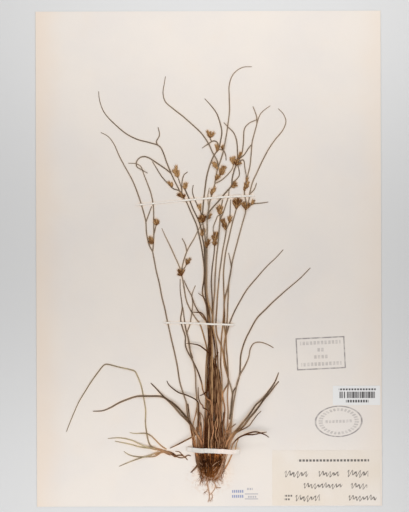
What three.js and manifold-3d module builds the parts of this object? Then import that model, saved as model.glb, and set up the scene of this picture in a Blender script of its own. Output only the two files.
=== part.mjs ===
// A pressed and dried tuft of path rush on its mounting sheet, held by three narrow paper straps.
// Millimetres. The sheet lies flat, +Y runs towards its top edge and +Z points out of its face.
// The origin is the middle of the sheet's underside. Routes are [x, y] points on the sheet.
import * as THREE from 'three';
import { mergeVertices } from 'three/addons/utils/BufferGeometryUtils.js';
import Module from 'manifold-3d';

const wasm = await Module();
wasm.setup();

// Driving dimensions
const SHEET_WIDTH = 292.1;
const SHEET_HEIGHT = 419.1;
const SHEET_THICKNESS = 0.4;
const SLIP_THICKNESS = 0.15;
const PASTE = 0.08;
const CLEARANCE = 0.28;
const CULM_WIDTH = 1.16;
const CULM_THICKNESS = 0.7;
const BRACT_WIDTH = 1.05;
const BRACT_THICKNESS = 0.5;
const STALK_WIDTH = 0.84;
const LEAF_WIDTH = 1.3;
const WIDE_LEAF_WIDTH = 1.8;
const LEAF_THICKNESS = 0.5;
const SIDE_LEAF_WIDTH = 1.17;
const TIP_SHARE = 0.5;
const STEM_TIP_SHARE = 0.85;
const STALK_TIP_SHARE = 0.7;
const TORN_TIP_SHARE = 0.9;
const TAPER_POWER = 3.5;
const FLORET_WIDTH = 1.7;
const FLORET_THICKNESS = 1.1;
const CROWN_HEIGHT = 3.1;
const CROWN_SIDES = 14;
const RIDGE_THICKNESS = 1.5;
const ROOT_THICKNESS = 0.6;
const MAIN_LABEL = { width: 91.4, height: 46.6, x: 98.9, y: -185.6 };
const SMALL_LABEL = { width: 40, height: 16.4, x: 124.7, y: -116 };

// How finely a strand is laid, and how far its solid may leave the exact curve
const RELIEF_CELL = 0.3;
const SAMPLE_STEP = 0.5;
const STEEPEST = 0.14;
const STRAP_STEEPEST = 0.5;
const PLAN_TOLERANCE = 0.45;
const HEIGHT_WEIGHT = 1.6;

const finish = (color, roughness) => new THREE.MeshStandardMaterial({ color, roughness, metalness: 0 });
const MATERIALS = {
  sheet: finish(0xe0d8cf, 0.9),
  label: finish(0xe6dccb, 0.85),
  slip: finish(0xeeeeec, 0.7),
  strap: finish(0xebe6dc, 0.8),
  culm: finish(0x85776a, 0.6),
  leaf: finish(0x7d6650, 0.65),
  sheath: finish(0x70492c, 0.7),
  shoot: finish(0x9a8c74, 0.65),
  rootstock: finish(0x5c3a22, 0.85),
};

// The height of everything that already lies on the sheet, cell by cell.
class Relief {
  constructor() {
    this.columns = Math.ceil(SHEET_WIDTH / RELIEF_CELL);
    this.rows = Math.ceil(SHEET_HEIGHT / RELIEF_CELL);
    this.tops = new Float32Array(this.columns * this.rows).fill(SHEET_THICKNESS);
  }

  cell(x, y) {
    const column = Math.floor((x + SHEET_WIDTH / 2) / RELIEF_CELL);
    const row = Math.floor((y + SHEET_HEIGHT / 2) / RELIEF_CELL);
    return row * this.columns + column;
  }

  top(x, y) {
    return this.tops[this.cell(x, y)];
  }

  raise(x, y, z) {
    const cell = this.cell(x, y);
    this.tops[cell] = Math.max(this.tops[cell], z);
  }

  // The highest top under a stroke across a strand.
  topAcross(point, side, halfWidth) {
    let highest = 0;
    for (let offset = -halfWidth; offset <= halfWidth; offset += RELIEF_CELL / 2) {
      highest = Math.max(highest, this.top(point.x + side.x * offset, point.y + side.y * offset));
    }
    return highest;
  }

  raiseAcross(point, side, halfWidth, z) {
    for (let offset = -halfWidth; offset <= halfWidth; offset += RELIEF_CELL / 2) {
      this.raise(point.x + side.x * offset, point.y + side.y * offset, z);
    }
  }
}

const relief = new Relief();

// The unit direction to the left of a polyline at one of its points.
function sideAt(points, index) {
  const before = points[Math.max(index - 1, 0)];
  const after = points[Math.min(index + 1, points.length - 1)];
  const length = Math.hypot(after.x - before.x, after.y - before.y);
  return { x: -(after.y - before.y) / length, y: (after.x - before.x) / length };
}

// Evenly spaced points on a smooth curve through a route.
function samplesAlong(route) {
  const curve = new THREE.CatmullRomCurve3(
    route.map(([x, y]) => new THREE.Vector3(x, y, 0)),
    false,
    'centripetal',
  );
  curve.arcLengthDivisions = 900;
  return curve.getSpacedPoints(Math.max(4, Math.ceil(curve.getLength() / SAMPLE_STEP)));
}

// Lifts neighbouring points until no stretch is steeper than the limit.
function limitSlope(points, heights, steepest) {
  for (let i = 1; i < heights.length; i += 1) {
    const drop = steepest * Math.hypot(points[i].x - points[i - 1].x, points[i].y - points[i - 1].y);
    heights[i] = Math.max(heights[i], heights[i - 1] - drop);
  }
  for (let i = heights.length - 2; i >= 0; i -= 1) {
    const drop = steepest * Math.hypot(points[i].x - points[i + 1].x, points[i].y - points[i + 1].y);
    heights[i] = Math.max(heights[i], heights[i + 1] - drop);
  }
}

// The samples that a faceted strand needs: the fewest whose chords stay near the curve.
function keptSamples(points, heights) {
  const kept = new Set([0, points.length - 1]);
  const at = (i) => new THREE.Vector3(points[i].x, points[i].y, heights[i] * HEIGHT_WEIGHT);
  const split = (first, last) => {
    const chord = new THREE.Line3(at(first), at(last));
    let farthest = -1;
    let distance = PLAN_TOLERANCE;
    for (let i = first + 1; i < last; i += 1) {
      const gap = chord.closestPointToPoint(at(i), true, new THREE.Vector3()).distanceTo(at(i));
      if (gap > distance) {
        farthest = i;
        distance = gap;
      }
    }
    if (farthest > 0) {
      kept.add(farthest);
      split(first, farthest);
      split(farthest, last);
    }
  };
  split(0, points.length - 1);
  return [...kept].sort((a, b) => a - b);
}

// The share of its full size that a strand has at a given fraction of the way to its tip.
const taper = (fraction, tipShare) => 1 - (1 - tipShare) * fraction ** TAPER_POWER;

// A floret or capsule: narrow stalk, swollen body, pointed end. Shares are of its width.
const FLORET_PROFILE = [
  { along: 0, share: 0.3 },
  { along: 0.6, share: 1 },
  { along: 1, share: 0.12 },
];

// Cross-sections, one unit wide and one high: a pressed stem, a keeled leaf and a paper strip.
const outline = (corners) => new THREE.Shape(corners.map(([x, y]) => new THREE.Vector2(x, y)));
const LOZENGE = outline([[0, 0], [0.5, 0.4], [0, 1], [-0.5, 0.4]]);
const KEEL = outline([[-0.5, 0], [0.5, 0], [0, 1]]);
const STRIP = outline([[-0.5, 0], [0.5, 0], [0.5, 1], [-0.5, 1]]);

// Lays a strand over what is there, starting on the nearest of the strands it grows from.
function lay(strand, parents = []) {
  const { route, width, thickness, tip = TIP_SHARE, steepest = STEEPEST } = strand;
  const { profile, section = KEEL } = strand;
  const joint = nearestSample(parents, route[0]);
  const points = samplesAlong(joint ? [[joint.point.x, joint.point.y], ...route.slice(1)] : route);
  const shares = points.map((point, i) => {
    const along = i / (points.length - 1);
    return profile ? 1 : taper(along, tip);
  });
  const heights = points.map((point, i) => {
    const reach = (width * shares[i]) / 2 + PLAN_TOLERANCE;
    return relief.topAcross(point, sideAt(points, i), reach) + CLEARANCE;
  });
  limitSlope(points, heights, steepest);
  return {
    points,
    heights,
    widths: shares.map((share) => share * width),
    thicknesses: shares.map((share) => share * thickness),
    steepest,
    profile,
    section,
    joint,
  };
}

// The sample nearest to a place among laid strands.
function nearestSample(laidStrands, [x, y]) {
  let nearest = null;
  let distance = Infinity;
  for (const laid of laidStrands) {
    laid.points.forEach((point, index) => {
      const gap = Math.hypot(point.x - x, point.y - y);
      if (gap < distance) {
        distance = gap;
        nearest = { laid, index, point };
      }
    });
  }
  return nearest;
}

// Lifts strands that grow from one another until they meet at their joints.
function meetAtJoints(laidStrands) {
  for (let round = 0; round < laidStrands.length + 2; round += 1) {
    for (const { points, heights, steepest, joint } of laidStrands) {
      if (joint) {
        const height = Math.max(heights[0], joint.laid.heights[joint.index]);
        heights[0] = height;
        joint.laid.heights[joint.index] = height;
        limitSlope(joint.laid.points, joint.laid.heights, joint.laid.steepest);
      }
      limitSlope(points, heights, steepest);
    }
  }
}

// Carries a unit cross-section along stations {x, y, z, width, thickness}: a straight extrusion, bent.
function sweep(stations, section) {
  const steps = stations.length - 1;
  const geometry = new THREE.ExtrudeGeometry(section, { depth: steps, steps, bevelEnabled: false });
  const position = geometry.attributes.position;
  for (let i = 0; i < position.count; i += 1) {
    const index = Math.round(position.getZ(i));
    const station = stations[index];
    const side = sideAt(stations, index);
    const across = position.getX(i) * station.width;
    position.setXYZ(
      i,
      station.x + side.x * across,
      station.y + side.y * across,
      station.z + position.getY(i) * station.thickness,
    );
  }
  return geometry;
}

// The stations of a laid strand's faceted solid.
function stationsOf({ points, heights, widths, thicknesses, profile }) {
  const station = (i, share) => ({
    x: points[i].x,
    y: points[i].y,
    z: heights[i],
    width: widths[i] * share,
    thickness: thicknesses[i] * (0.4 + 0.6 * share),
  });
  if (profile) {
    return profile.map(({ along, share }) => station(Math.round(along * (points.length - 1)), share));
  }
  return keptSamples(points, heights).map((i) => station(i, 1));
}

// Adds a strand's faceted solid to the relief, for what is laid over it.
function raiseRelief(stations) {
  for (let i = 1; i < stations.length; i += 1) {
    const [from, to] = [stations[i - 1], stations[i]];
    const length = Math.hypot(to.x - from.x, to.y - from.y);
    const side = { x: (from.y - to.y) / length, y: (to.x - from.x) / length };
    for (let travelled = 0; travelled <= length; travelled += RELIEF_CELL / 2) {
      const share = travelled / length;
      const between = (key) => THREE.MathUtils.lerp(from[key], to[key], share);
      const top = between('z') + between('thickness');
      relief.raiseAcross({ x: between('x'), y: between('y') }, side, between('width') / 2, top);
    }
  }
}

// The faceted solid of a laid strand, which from now on lies under what is laid over it.
function settle(laid) {
  const stations = stationsOf(laid);
  raiseRelief(stations);
  return sweep(stations, laid.section);
}

// A closed mesh as a solid that can be joined to others.
function solidOf(geometry) {
  const bare = geometry.clone();
  bare.deleteAttribute('normal');
  bare.deleteAttribute('uv');
  const merged = mergeVertices(bare, 1e-4);
  return new wasm.Manifold(
    new wasm.Mesh({
      numProp: 3,
      vertProperties: Float32Array.from(merged.attributes.position.array),
      triVerts: Uint32Array.from(merged.index.array),
    }),
  );
}

// One closed geometry from several that overlap, with any sealed pocket between them filled.
function fuse(geometries) {
  const joined = geometries
    .map(solidOf)
    .reduce((whole, piece) => whole.add(piece))
    .decompose()
    .filter((shell) => shell.volume() > 0)
    .reduce((whole, shell) => whole.add(shell));
  const { vertProperties, triVerts } = joined.getMesh();
  const geometry = new THREE.BufferGeometry();
  geometry.setAttribute('position', new THREE.Float32BufferAttribute(vertProperties, 3));
  geometry.setIndex(new THREE.Uint32BufferAttribute(triVerts, 1));
  geometry.computeVertexNormals();
  return geometry;
}

const specimen = new THREE.Group();
specimen.name = 'pressed_path_rush';

function addPiece(name, geometry, material) {
  const mesh = new THREE.Mesh(geometry, material);
  mesh.name = name;
  specimen.add(mesh);
  return mesh;
}

// A stem or leaf with its branches and clusters, fused into one solid and laid over what is there.
function addStrands(name, material, { strands, clusters = [] }) {
  const laidStrands = [];
  for (const strand of strands) {
    laidStrands.push(lay(strand, laidStrands));
  }
  const stems = [...laidStrands];
  for (const { at, tips } of clusters) {
    for (const tip of tips) {
      laidStrands.push(lay(floret([at, tip]), stems));
    }
  }
  meetAtJoints(laidStrands);
  const geometries = laidStrands.map(settle);
  addPiece(name, geometries.length > 1 ? fuse(geometries) : geometries[0], material);
}

const culm = (route) => ({
  route,
  width: CULM_WIDTH,
  thickness: CULM_THICKNESS,
  tip: STEM_TIP_SHARE,
  section: LOZENGE,
});
const bract = (route) => ({ route, width: BRACT_WIDTH, thickness: BRACT_THICKNESS });
const stalk = (route) => ({ route, width: STALK_WIDTH, thickness: BRACT_THICKNESS, tip: STALK_TIP_SHARE });
const blade = (route, width = LEAF_WIDTH, tip = TIP_SHARE) => (
  { route, width, thickness: LEAF_THICKNESS, tip }
);
const floret = (route) => ({
  route,
  width: FLORET_WIDTH,
  thickness: FLORET_THICKNESS,
  steepest: 0,
  profile: FLORET_PROFILE,
});

// The mounting sheet and what is pasted flat on it
const sheet = addPiece(
  'mounting_sheet',
  new THREE.BoxGeometry(SHEET_WIDTH, SHEET_HEIGHT, SHEET_THICKNESS),
  MATERIALS.sheet,
);
sheet.position.z = SHEET_THICKNESS / 2;

function pasteSlip(name, { width, height, x, y }, material) {
  const slip = addPiece(name, new THREE.BoxGeometry(width, height, SLIP_THICKNESS), material);
  slip.position.set(x, y, SHEET_THICKNESS + PASTE + SLIP_THICKNESS / 2);
}
pasteSlip('main_label', MAIN_LABEL, MATERIALS.label);
pasteSlip('small_label', SMALL_LABEL, MATERIALS.slip);

// The rootstock: a low dome of matted root and old bases, with sheath ridges fanning up from it
// and the thickest roots hanging below. Its strands start low in the dome.
const CROWN = { x: 1.6, y: -171.5, halfWidth: 11.4, halfLength: 14.5 };
const CROWN_DOME = [[0, 0], [1, 0], [0.96, 0.42], [0.7, 0.84], [0, 1]];
const SHEATH_RIDGES = [
  { width: 2.4, route: [[-5, -181], [-9.4, -172], [-12, -160], [-14.2, -150], [-16.3, -140]] },
  { width: 2.8, route: [[-5, -182], [-8.6, -170], [-13.2, -158], [-13.9, -151]] },
  { width: 2.6, route: [[-4, -183], [-7.4, -172], [-9.3, -158], [-10.6, -142]] },
  { width: 2.6, route: [[-3, -184], [-5, -173], [-6.6, -157], [-7.1, -138]] },
  { width: 3.2, route: [[-1.5, -185], [-2.4, -174], [-3, -157], [-2.9, -138]] },
  { width: 3, route: [[0.3, -186], [0.4, -174], [0.6, -157], [0.3, -136]] },
  { width: 3, route: [[2, -186], [3, -174], [3.7, -157], [3.6, -137]] },
  { width: 2.8, route: [[3.6, -185], [5.5, -174], [6.7, -157], [6.6, -136]] },
  { width: 2.6, route: [[5, -184], [7.6, -173], [9.4, -157], [9.3, -138]] },
  { width: 2.9, route: [[6.4, -183], [9.7, -172], [11.9, -157], [12.2, -139]] },
  { width: 2.6, route: [[7.4, -181], [11.4, -170], [14.4, -156], [17.4, -141]] },
  { width: 2, route: [[8, -180], [12.6, -169], [16.8, -156], [19.6, -147]] },
];
const ROOTS = [
  { width: 1.2, route: [[0, -183], [-1.9, -190], [-0.9, -195.5], [-0.2, -201], [-1, -206]] },
  { width: 1, route: [[3, -183], [4.3, -189], [4.9, -193], [2.6, -197.3], [0, -200]] },
  { width: 0.8, route: [[4.4, -191], [6, -193.5], [10, -193.6]] },
  { width: 1.1, route: [[-3.5, -181], [-6.6, -186.5], [-8.4, -191]] },
  { width: 0.8, route: [[-1, -187], [-2.4, -189.5], [-3.8, -191.4]] },
  { width: 0.9, route: [[7.4, -180], [8.2, -186], [11, -189]] },
  { width: 1.9, route: [[-8, -171], [-11.4, -176.3], [-16, -181]] },
  { width: 0.7, route: [[1.6, -198.2], [2.4, -201.5], [0.3, -205.6]] },
  { width: 0.7, route: [[-1.2, -194.6], [-2.8, -197], [-5, -198]] },
];

function addRootstock() {
  const dome = new THREE.LatheGeometry(CROWN_DOME.map(([r, z]) => new THREE.Vector2(r, z)), CROWN_SIDES);
  dome.rotateX(Math.PI / 2);
  dome.scale(CROWN.halfWidth, CROWN.halfLength, CROWN_HEIGHT);
  dome.translate(CROWN.x, CROWN.y, SHEET_THICKNESS + CLEARANCE);
  const ridges = SHEATH_RIDGES.map(({ width, route }) => (
    lay({ route, width, thickness: RIDGE_THICKNESS, tip: 0.4 })
  ));
  const roots = ROOTS.map(({ width, route }) => (
    lay({ route, width, thickness: ROOT_THICKNESS, tip: 0.5 })
  ));
  addPiece('rootstock', fuse([dome, ...ridges.map(settle), ...roots.map(settle)]), MATERIALS.rootstock);
  for (let x = -CROWN.halfWidth; x <= CROWN.halfWidth; x += RELIEF_CELL / 2) {
    for (let y = -CROWN.halfLength; y <= CROWN.halfLength; y += RELIEF_CELL / 2) {
      if (Math.hypot(x / CROWN.halfWidth, y / CROWN.halfLength) <= 1) {
        relief.raise(CROWN.x + x, CROWN.y + y, SHEET_THICKNESS + CLEARANCE + CROWN_HEIGHT);
      }
    }
  }
}
addRootstock();

// The young side shoot, whose leaves fan out to the left of the tuft
addStrands('side_shoot_base', MATERIALS.sheath, {
  strands: [
    { width: 2.4, thickness: 1.2, tip: 0.5, route: [[-28, -167.4], [-32.6, -164.4], [-38, -162.9],
      [-43, -161.2], [-48, -160.2]] },
    { width: 1.5, thickness: 0.7, tip: 0.6, route: [[-33, -165], [-38.5, -163.4], [-42, -164],
      [-46, -165.5]] },
    { width: 1.1, thickness: 0.7, tip: 0.5, route: [[-29, -166.6], [-25, -166.2], [-21.5, -167.2],
      [-18.4, -170.4]] },
    { width: 0.9, thickness: 0.6, tip: 0.6, route: [[-28.4, -167.3], [-24.5, -168.3], [-20, -168.2]] },
    { width: 0.9, thickness: 0.6, tip: 0.6, route: [[-20.6, -167.7], [-18, -166.2], [-15.5, -167]] },
    { width: 0.8, thickness: 0.6, tip: 0.5, route: [[-20.8, -167.5], [-23.4, -165.3], [-25.6, -163.3],
      [-29, -162.8]] },
    { width: 1, thickness: 0.6, tip: 0.4, route: [[-38.6, -163.6], [-36, -164.9], [-33, -166.4]] },
  ],
});
const SIDE_LEAVES = [
  [[-44.6, -160.4], [-49.6, -158], [-51.6, -153.6], [-53, -147], [-54, -139], [-53.9, -129], [-55, -120],
    [-57.4, -107.8], [-60.8, -98.4], [-62.8, -95], [-66, -93.9], [-75, -91.8], [-84, -89.5], [-87.2, -89.1],
    [-89.2, -90], [-94, -95.6], [-99, -102.6], [-104.6, -111.4], [-109.8, -120.2], [-114.5, -130],
    [-118, -138.5], [-121, -146]],
  [[-44.8, -161.2], [-50, -160.1], [-58, -159.1], [-66, -157], [-74, -155.3], [-80, -154.1]],
  [[-45.6, -159.9], [-52, -158.9], [-58, -156.9], [-64, -154.1], [-70, -152.2], [-76, -151.4], [-86, -152]],
  [[-41.4, -164.2], [-46, -166.9], [-53, -167.5], [-60, -167.3], [-66, -166.4], [-70, -164.7],
    [-72.5, -162.8]],
  [[-42.6, -163.2], [-50, -165.9], [-58, -168.4], [-66, -171.1], [-76.5, -175.7]],
  [[-36.2, -161.2], [-40, -158.7], [-46, -152.7], [-49.4, -149.6], [-54, -147.7], [-63.5, -147.6],
    [-67.5, -147]],
];
SIDE_LEAVES.forEach((route, i) => {
  addStrands(`side_leaf_${i + 1}`, MATERIALS.shoot, { strands: [blade(route, SIDE_LEAF_WIDTH)] });
});

// Old basal sheaths that pack the middle of the tuft
const OLD_SHEATHS = [
  { width: 2.4, route: [[2.2, -152], [2.3, -138], [2.2, -124], [2.6, -112], [3, -101], [2.8, -92],
    [1.9, -80]] },
  {
    width: 3,
    route: [[6.4, -153], [6.2, -142], [6.2, -130], [6.4, -118], [6.7, -108], [6.4, -99], [5.2, -91],
      [3.6, -83]],
  },
  { width: 2, route: [[-1.6, -152], [-0.8, -137], [0, -124], [0.3, -112], [0.4, -98]] },
  { width: 2.4, route: [[8.8, -152], [8.3, -137], [8.6, -122], [8.7, -110], [8.6, -102], [7.2, -92.5]] },
  {
    width: 1.9,
    tip: TORN_TIP_SHARE,
    route: [[-12.4, -147], [-14.6, -141], [-16.6, -135], [-18, -128], [-18.8, -120.4]],
  },
];
OLD_SHEATHS.forEach(({ width, tip, route }, i) => {
  addStrands(`old_sheath_${i + 1}`, MATERIALS.sheath, { strands: [blade(route, width, tip)] });
});

// The flowering stems with their bracts, from left to right at the foot
const CULMS = [
  {
    strands: [
      culm([[-10.3, -162], [-12.4, -151], [-14.2, -144], [-15.8, -138], [-17.3, -133], [-18.3, -128],
        [-19, -122.5], [-20.2, -119], [-22, -113.5], [-24, -107], [-25.5, -100.5], [-27, -90], [-29.2, -80],
        [-31.8, -68], [-34, -58], [-36.7, -45], [-39.8, -32], [-42.5, -18], [-44.6, -9], [-46.5, 1],
        [-47.4, 6]]),
      bract([[-47.4, 6], [-50.5, 12], [-52.5, 22], [-53.2, 31], [-54.8, 38.5], [-58.5, 51], [-62.5, 62.5],
        [-67.5, 72.5], [-75, 86], [-80, 97.5], [-85, 103.8], [-91, 107.3]]),
      bract([[-47.4, 6], [-46.4, 18], [-46.5, 30], [-46.7, 43], [-48.8, 56], [-51, 62], [-54.8, 72],
        [-57, 78], [-60.5, 80.3], [-68, 81]]),
      stalk([[-53.2, 31], [-49.5, 40.5], [-48, 44.5]]),
      stalk([[-46.3, 20], [-45, 26], [-43.8, 30]]),
    ],
    clusters: [
      { at: [-47.4, 13], tips: [[-51, 19.5], [-49.2, 19], [-51.8, 15.2]] },
      { at: [-44.2, 28.5], tips: [[-46.2, 34.4], [-44, 34.4], [-42, 33.2]] },
    ],
  },
  {
    strands: [
      culm([[-5.4, -162], [-4.8, -148], [-3.9, -136], [-3.2, -124], [-2.9, -112], [-2.8, -100], [-2.6, -92],
        [-2.1, -84], [-1.8, -77.5], [-2.7, -72], [-6, -60], [-8, -54.5], [-11, -50.5], [-15, -44.5],
        [-18.5, -37], [-20.5, -28], [-22, -18], [-23.2, -12]]),
      bract([[-23.2, -12], [-25.2, -6], [-29.5, 4], [-35, 15.5], [-39.8, 26]]),
      bract([[-23.2, -12], [-21.3, -2], [-17.8, 7.5], [-12.5, 17], [-8.7, 24.5], [-5.5, 29.5]]),
      stalk([[-18.3, 6], [-19.5, 11], [-22.5, 17.5]]),
      stalk([[-22.8, -10.8], [-20, -7], [-18.3, -3.6]]),
    ],
    clusters: [
      { at: [-23, -14.5], tips: [[-26.5, -8.4], [-24.6, -7.6], [-21, -8], [-27, -12.4]] },
      { at: [-19, -5.2], tips: [[-18.5, 0.6], [-15, 1.2], [-16.4, -2.4]] },
    ],
  },
  {
    strands: [
      culm([[-3.2, -162], [-3, -146], [-2.2, -132], [-1.9, -120], [-1.6, -108], [-1.3, -97], [-1, -87],
        [-0.6, -79], [-0.4, -70], [-0.6, -60], [-0.9, -52], [-1.7, -44], [-2.4, -38.5], [-4.1, -33.8],
        [-5.4, -29.6], [-5.4, -25], [-4.3, -19], [-3.8, -12], [-4.2, -4], [-5, 3], [-6.4, 11], [-8, 19],
        [-9.8, 27], [-12.5, 34], [-15.5, 41], [-18.5, 47.5], [-21.3, 51.5]]),
      bract([[-21.3, 51.5], [-25, 58.5], [-30.5, 70], [-35, 80.5], [-38.3, 90], [-41.5, 95.3], [-50, 98.6],
        [-60, 101.1], [-70, 106.3], [-80, 114.8], [-88.6, 125], [-92, 135], [-92.8, 142]]),
      stalk([[-42.6, 95.9], [-44, 98.8], [-41.4, 104.5], [-42.5, 111.5]]),
      bract([[-31.5, 72], [-37, 76.7], [-45, 82], [-50, 85.3], [-54, 86.6], [-58, 85.6], [-60.8, 82],
        [-60.4, 78], [-57, 75.7], [-51.5, 72.5]]),
      stalk([[-24.6, 57.7], [-30, 59.5], [-34, 63.5], [-40, 70.3], [-47.5, 82.5]]),
      stalk([[-22, 53], [-23, 60], [-24.5, 65], [-26.2, 70]]),
      stalk([[-22.4, 57], [-22.2, 66], [-20.5, 71.3], [-17.5, 73.5]]),
    ],
    clusters: [
      { at: [-21.6, 50.6], tips: [[-27.2, 55.2], [-24.4, 57], [-19.6, 55]] },
      { at: [-25.8, 68.8], tips: [[-27.6, 80], [-30.6, 76], [-25.8, 75.4]] },
      { at: [-31, 60.2], tips: [[-34.6, 66], [-31.4, 65.4]] },
    ],
  },
  {
    strands: [
      culm([[-1.2, -162], [-1, -146], [-0.6, -130], [-0.3, -115], [-0.1, -100], [0.3, -88], [0.6, -76],
        [0.5, -64], [0.1, -54], [-0.7, -46], [-1.4, -38], [-2.9, -31], [-3.5, -22], [-3.2, -12], [-3.3, 0],
        [-4, 10], [-5.4, 18], [-6.3, 25], [-8.6, 32.5], [-11.3, 38.5], [-14, 44.5], [-17, 52],
        [-20.5, 60]]),
    ],
    clusters: [
      { at: [-20, 58.8], tips: [[-18.2, 65.4], [-20.6, 64.8]] },
      { at: [-5.4, 18.6], tips: [[-5.8, 25.6], [-3.2, 26.2]] },
    ],
  },
  {
    strands: [
      culm([[0.9, -162], [1, -146], [0.9, -130], [0.9, -115], [1, -100], [1.4, -88], [1.6, -76], [1.4, -64],
        [1.1, -54], [0.4, -46], [-0.6, -38], [-2.1, -31], [-2.8, -22], [-2.6, -12], [-2.5, 0], [-2.8, 12],
        [-3.5, 21], [-4.6, 28], [-5.8, 34]]),
      culm([[-5.8, 34], [-4.6, 44], [-3.7, 53], [-2.4, 64], [-0.5, 74], [2, 81.5], [5.5, 88.5], [8.6, 92]]),
      bract([[8.6, 92], [10.3, 99], [11.4, 107], [10.4, 113], [7.5, 122], [3, 128.5], [-3, 135.5]]),
      bract([[8.4, 93], [7.6, 98.4], [4.5, 99.8], [0, 97.3], [-5.5, 93.5]]),
      stalk([[9.2, 92.2], [12.6, 91.5], [14.5, 87.5], [15, 83]]),
      stalk([[2.6, 99.2], [1.6, 101.5], [1.4, 104]]),
      stalk([[-5.8, 34.5], [-7.2, 41], [-9.5, 45.5], [-12.5, 52.5], [-13.7, 57], [-13, 62.5]]),
    ],
    clusters: [
      { at: [7.8, 90.2], tips: [[6.2, 97.6], [8.6, 97]] },
      { at: [12.2, 91.6], tips: [[12.7, 96.8], [10.8, 96]] },
      { at: [1.5, 102.4], tips: [[-1.4, 109.2], [1.6, 108.4], [5.4, 107.8]] },
      { at: [-5.4, 30.6], tips: [[-9.4, 35.4], [-7.2, 37.6], [-4.6, 38.4], [-2.2, 37.4]] },
      { at: [-7, 40.4], tips: [[-9.6, 46.2], [-7.2, 47.2]] },
    ],
  },
  {
    strands: [
      culm([[3, -162], [2.9, -146], [2.6, -130], [2.4, -115], [2.5, -100], [2.6, -88], [2.6, -76],
        [2.3, -64], [2.6, -54], [2.9, -47.5], [1.9, -43], [0.4, -40], [-1, -35], [-1.7, -29], [-1.9, -20],
        [-1.7, -8], [-1.6, 4], [-1.6, 14], [-1.3, 24], [-1.2, 33], [-0.2, 41], [1.1, 48], [3, 55],
        [5.3, 63.7]]),
      stalk([[-0.7, 36], [0, 43], [-0.5, 53], [0.6, 60]]),
    ],
    clusters: [
      { at: [2.6, 53.6], tips: [[6, 61.6], [3.4, 60.2]] },
      { at: [-1.6, 9], tips: [[-2.6, 15.4], [0.7, 17.4]] },
      { at: [-1, 33.6], tips: [[2.8, 38.6]] },
    ],
  },
  {
    strands: [
      culm([[5, -162], [5, -146], [4.6, -130], [4.4, -115], [4.8, -100], [5.2, -88], [5.1, -78], [4.2, -70],
        [3.1, -62], [2.8, -54], [3.1, -43], [2.6, -33], [2.1, -20], [2.7, -10], [4, 0], [4.6, 6], [5, 12]]),
    ],
    clusters: [{ at: [5, 11], tips: [[3.2, 20.4], [4.6, 23.6], [7.8, 23.4], [6.8, 19.4]] }],
  },
  {
    strands: [
      culm([[7.6, -162], [7.8, -146], [7.7, -130], [8, -115], [8.1, -100], [7.3, -88], [6.8, -77],
        [5.6, -69], [3.9, -61], [3.4, -53], [3.5, -44], [4.2, -35], [4.8, -27], [5.4, -14], [6.5, 0],
        [7.7, 12], [8.8, 24], [9.4, 31], [10, 38], [10.6, 43], [12, 50]]),
      bract([[9.6, 33.4], [12, 38], [14.5, 45], [16.6, 52], [17.5, 59]]),
      stalk([[9.8, 36.6], [8, 36.4], [5.8, 32], [4, 27], [3.8, 23]]),
    ],
    clusters: [{ at: [10, 37.2], tips: [[6.8, 44.4], [8.8, 46.2], [11.4, 45.2]] }],
  },
  {
    strands: [
      culm([[10.7, -162], [10.3, -150], [9.9, -138], [10.3, -126], [10.7, -116], [10.9, -108], [10.7, -100],
        [9.9, -91], [9.9, -81], [10.3, -72], [10.8, -64], [11.9, -55], [12.6, -46], [12.8, -35],
        [12.4, -22], [12.6, -10], [14, 3], [16, 13], [18.3, 23], [21, 33.5], [23.8, 43]]),
    ],
    clusters: [{ at: [23.6, 42], tips: [[20.6, 50.8], [22.8, 52], [25.8, 52.2], [28.2, 50.8]] }],
  },
  {
    strands: [
      culm([[13.2, -162], [14.5, -150], [15.4, -141], [15.8, -131], [15.5, -121], [15.6, -112],
        [16.3, -104], [16, -95], [15.4, -84], [14.6, -75], [14.4, -64], [15.2, -55], [15.8, -45],
        [16.2, -33], [17, -20], [19, -8], [21.5, 4], [24.5, 15], [27.7, 27], [31, 38], [31.5, 42]]),
      bract([[31.5, 42], [31.6, 48], [30.4, 56], [31.7, 65], [33, 70], [35, 78], [36.2, 90], [37.3, 99.5],
        [40.3, 111], [43.8, 122], [47, 125.5], [52.5, 129.3]]),
      stalk([[41.1, 114], [41, 119.5], [39.6, 124], [37.8, 128.8]]),
      bract([[31.5, 42], [34, 49], [35, 56], [37.8, 66], [41, 73], [45.3, 82], [50, 91], [56.5, 100.5],
        [63.5, 109.5], [65.6, 116], [63.5, 122], [59, 127]]),
      stalk([[34.8, 54.4], [38.6, 58.5], [40.8, 64]]),
      stalk([[32, 43.4], [37.5, 46], [44, 46.8], [50.5, 47.8]]),
    ],
    clusters: [
      { at: [31.4, 40.8], tips: [[28, 48.6], [30.8, 49], [34.8, 47.8]] },
      { at: [35.6, 45.4], tips: [[39, 50.4]] },
      { at: [30.6, 57], tips: [[31.6, 65], [34.2, 66]] },
      { at: [31.6, 64.6], tips: [[33.2, 70]] },
    ],
  },
  {
    strands: [
      culm([[15.4, -162], [16.2, -150], [17.6, -141], [18.9, -133], [19.5, -124], [19.5, -114],
        [18.2, -107.5], [16.7, -103], [14.8, -96.5], [12.9, -89], [11.8, -80], [9.9, -72.6], [7, -65.5],
        [6, -58], [6.5, -45], [7.1, -34], [8.2, -21], [10.2, -4], [12.2, 9], [14.2, 20], [15, 25]]),
      stalk([[15, 25], [17.5, 31], [18.2, 38], [18.5, 50]]),
    ],
    clusters: [
      { at: [14.8, 24.2], tips: [[10.2, 34], [12.4, 34.6], [13.8, 31.4]] },
      { at: [17.2, 30.2], tips: [[19.2, 37], [17, 36.6]] },
    ],
  },
];
CULMS.forEach((parts, i) => addStrands(`culm_${i + 1}`, MATERIALS.culm, parts));

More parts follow.
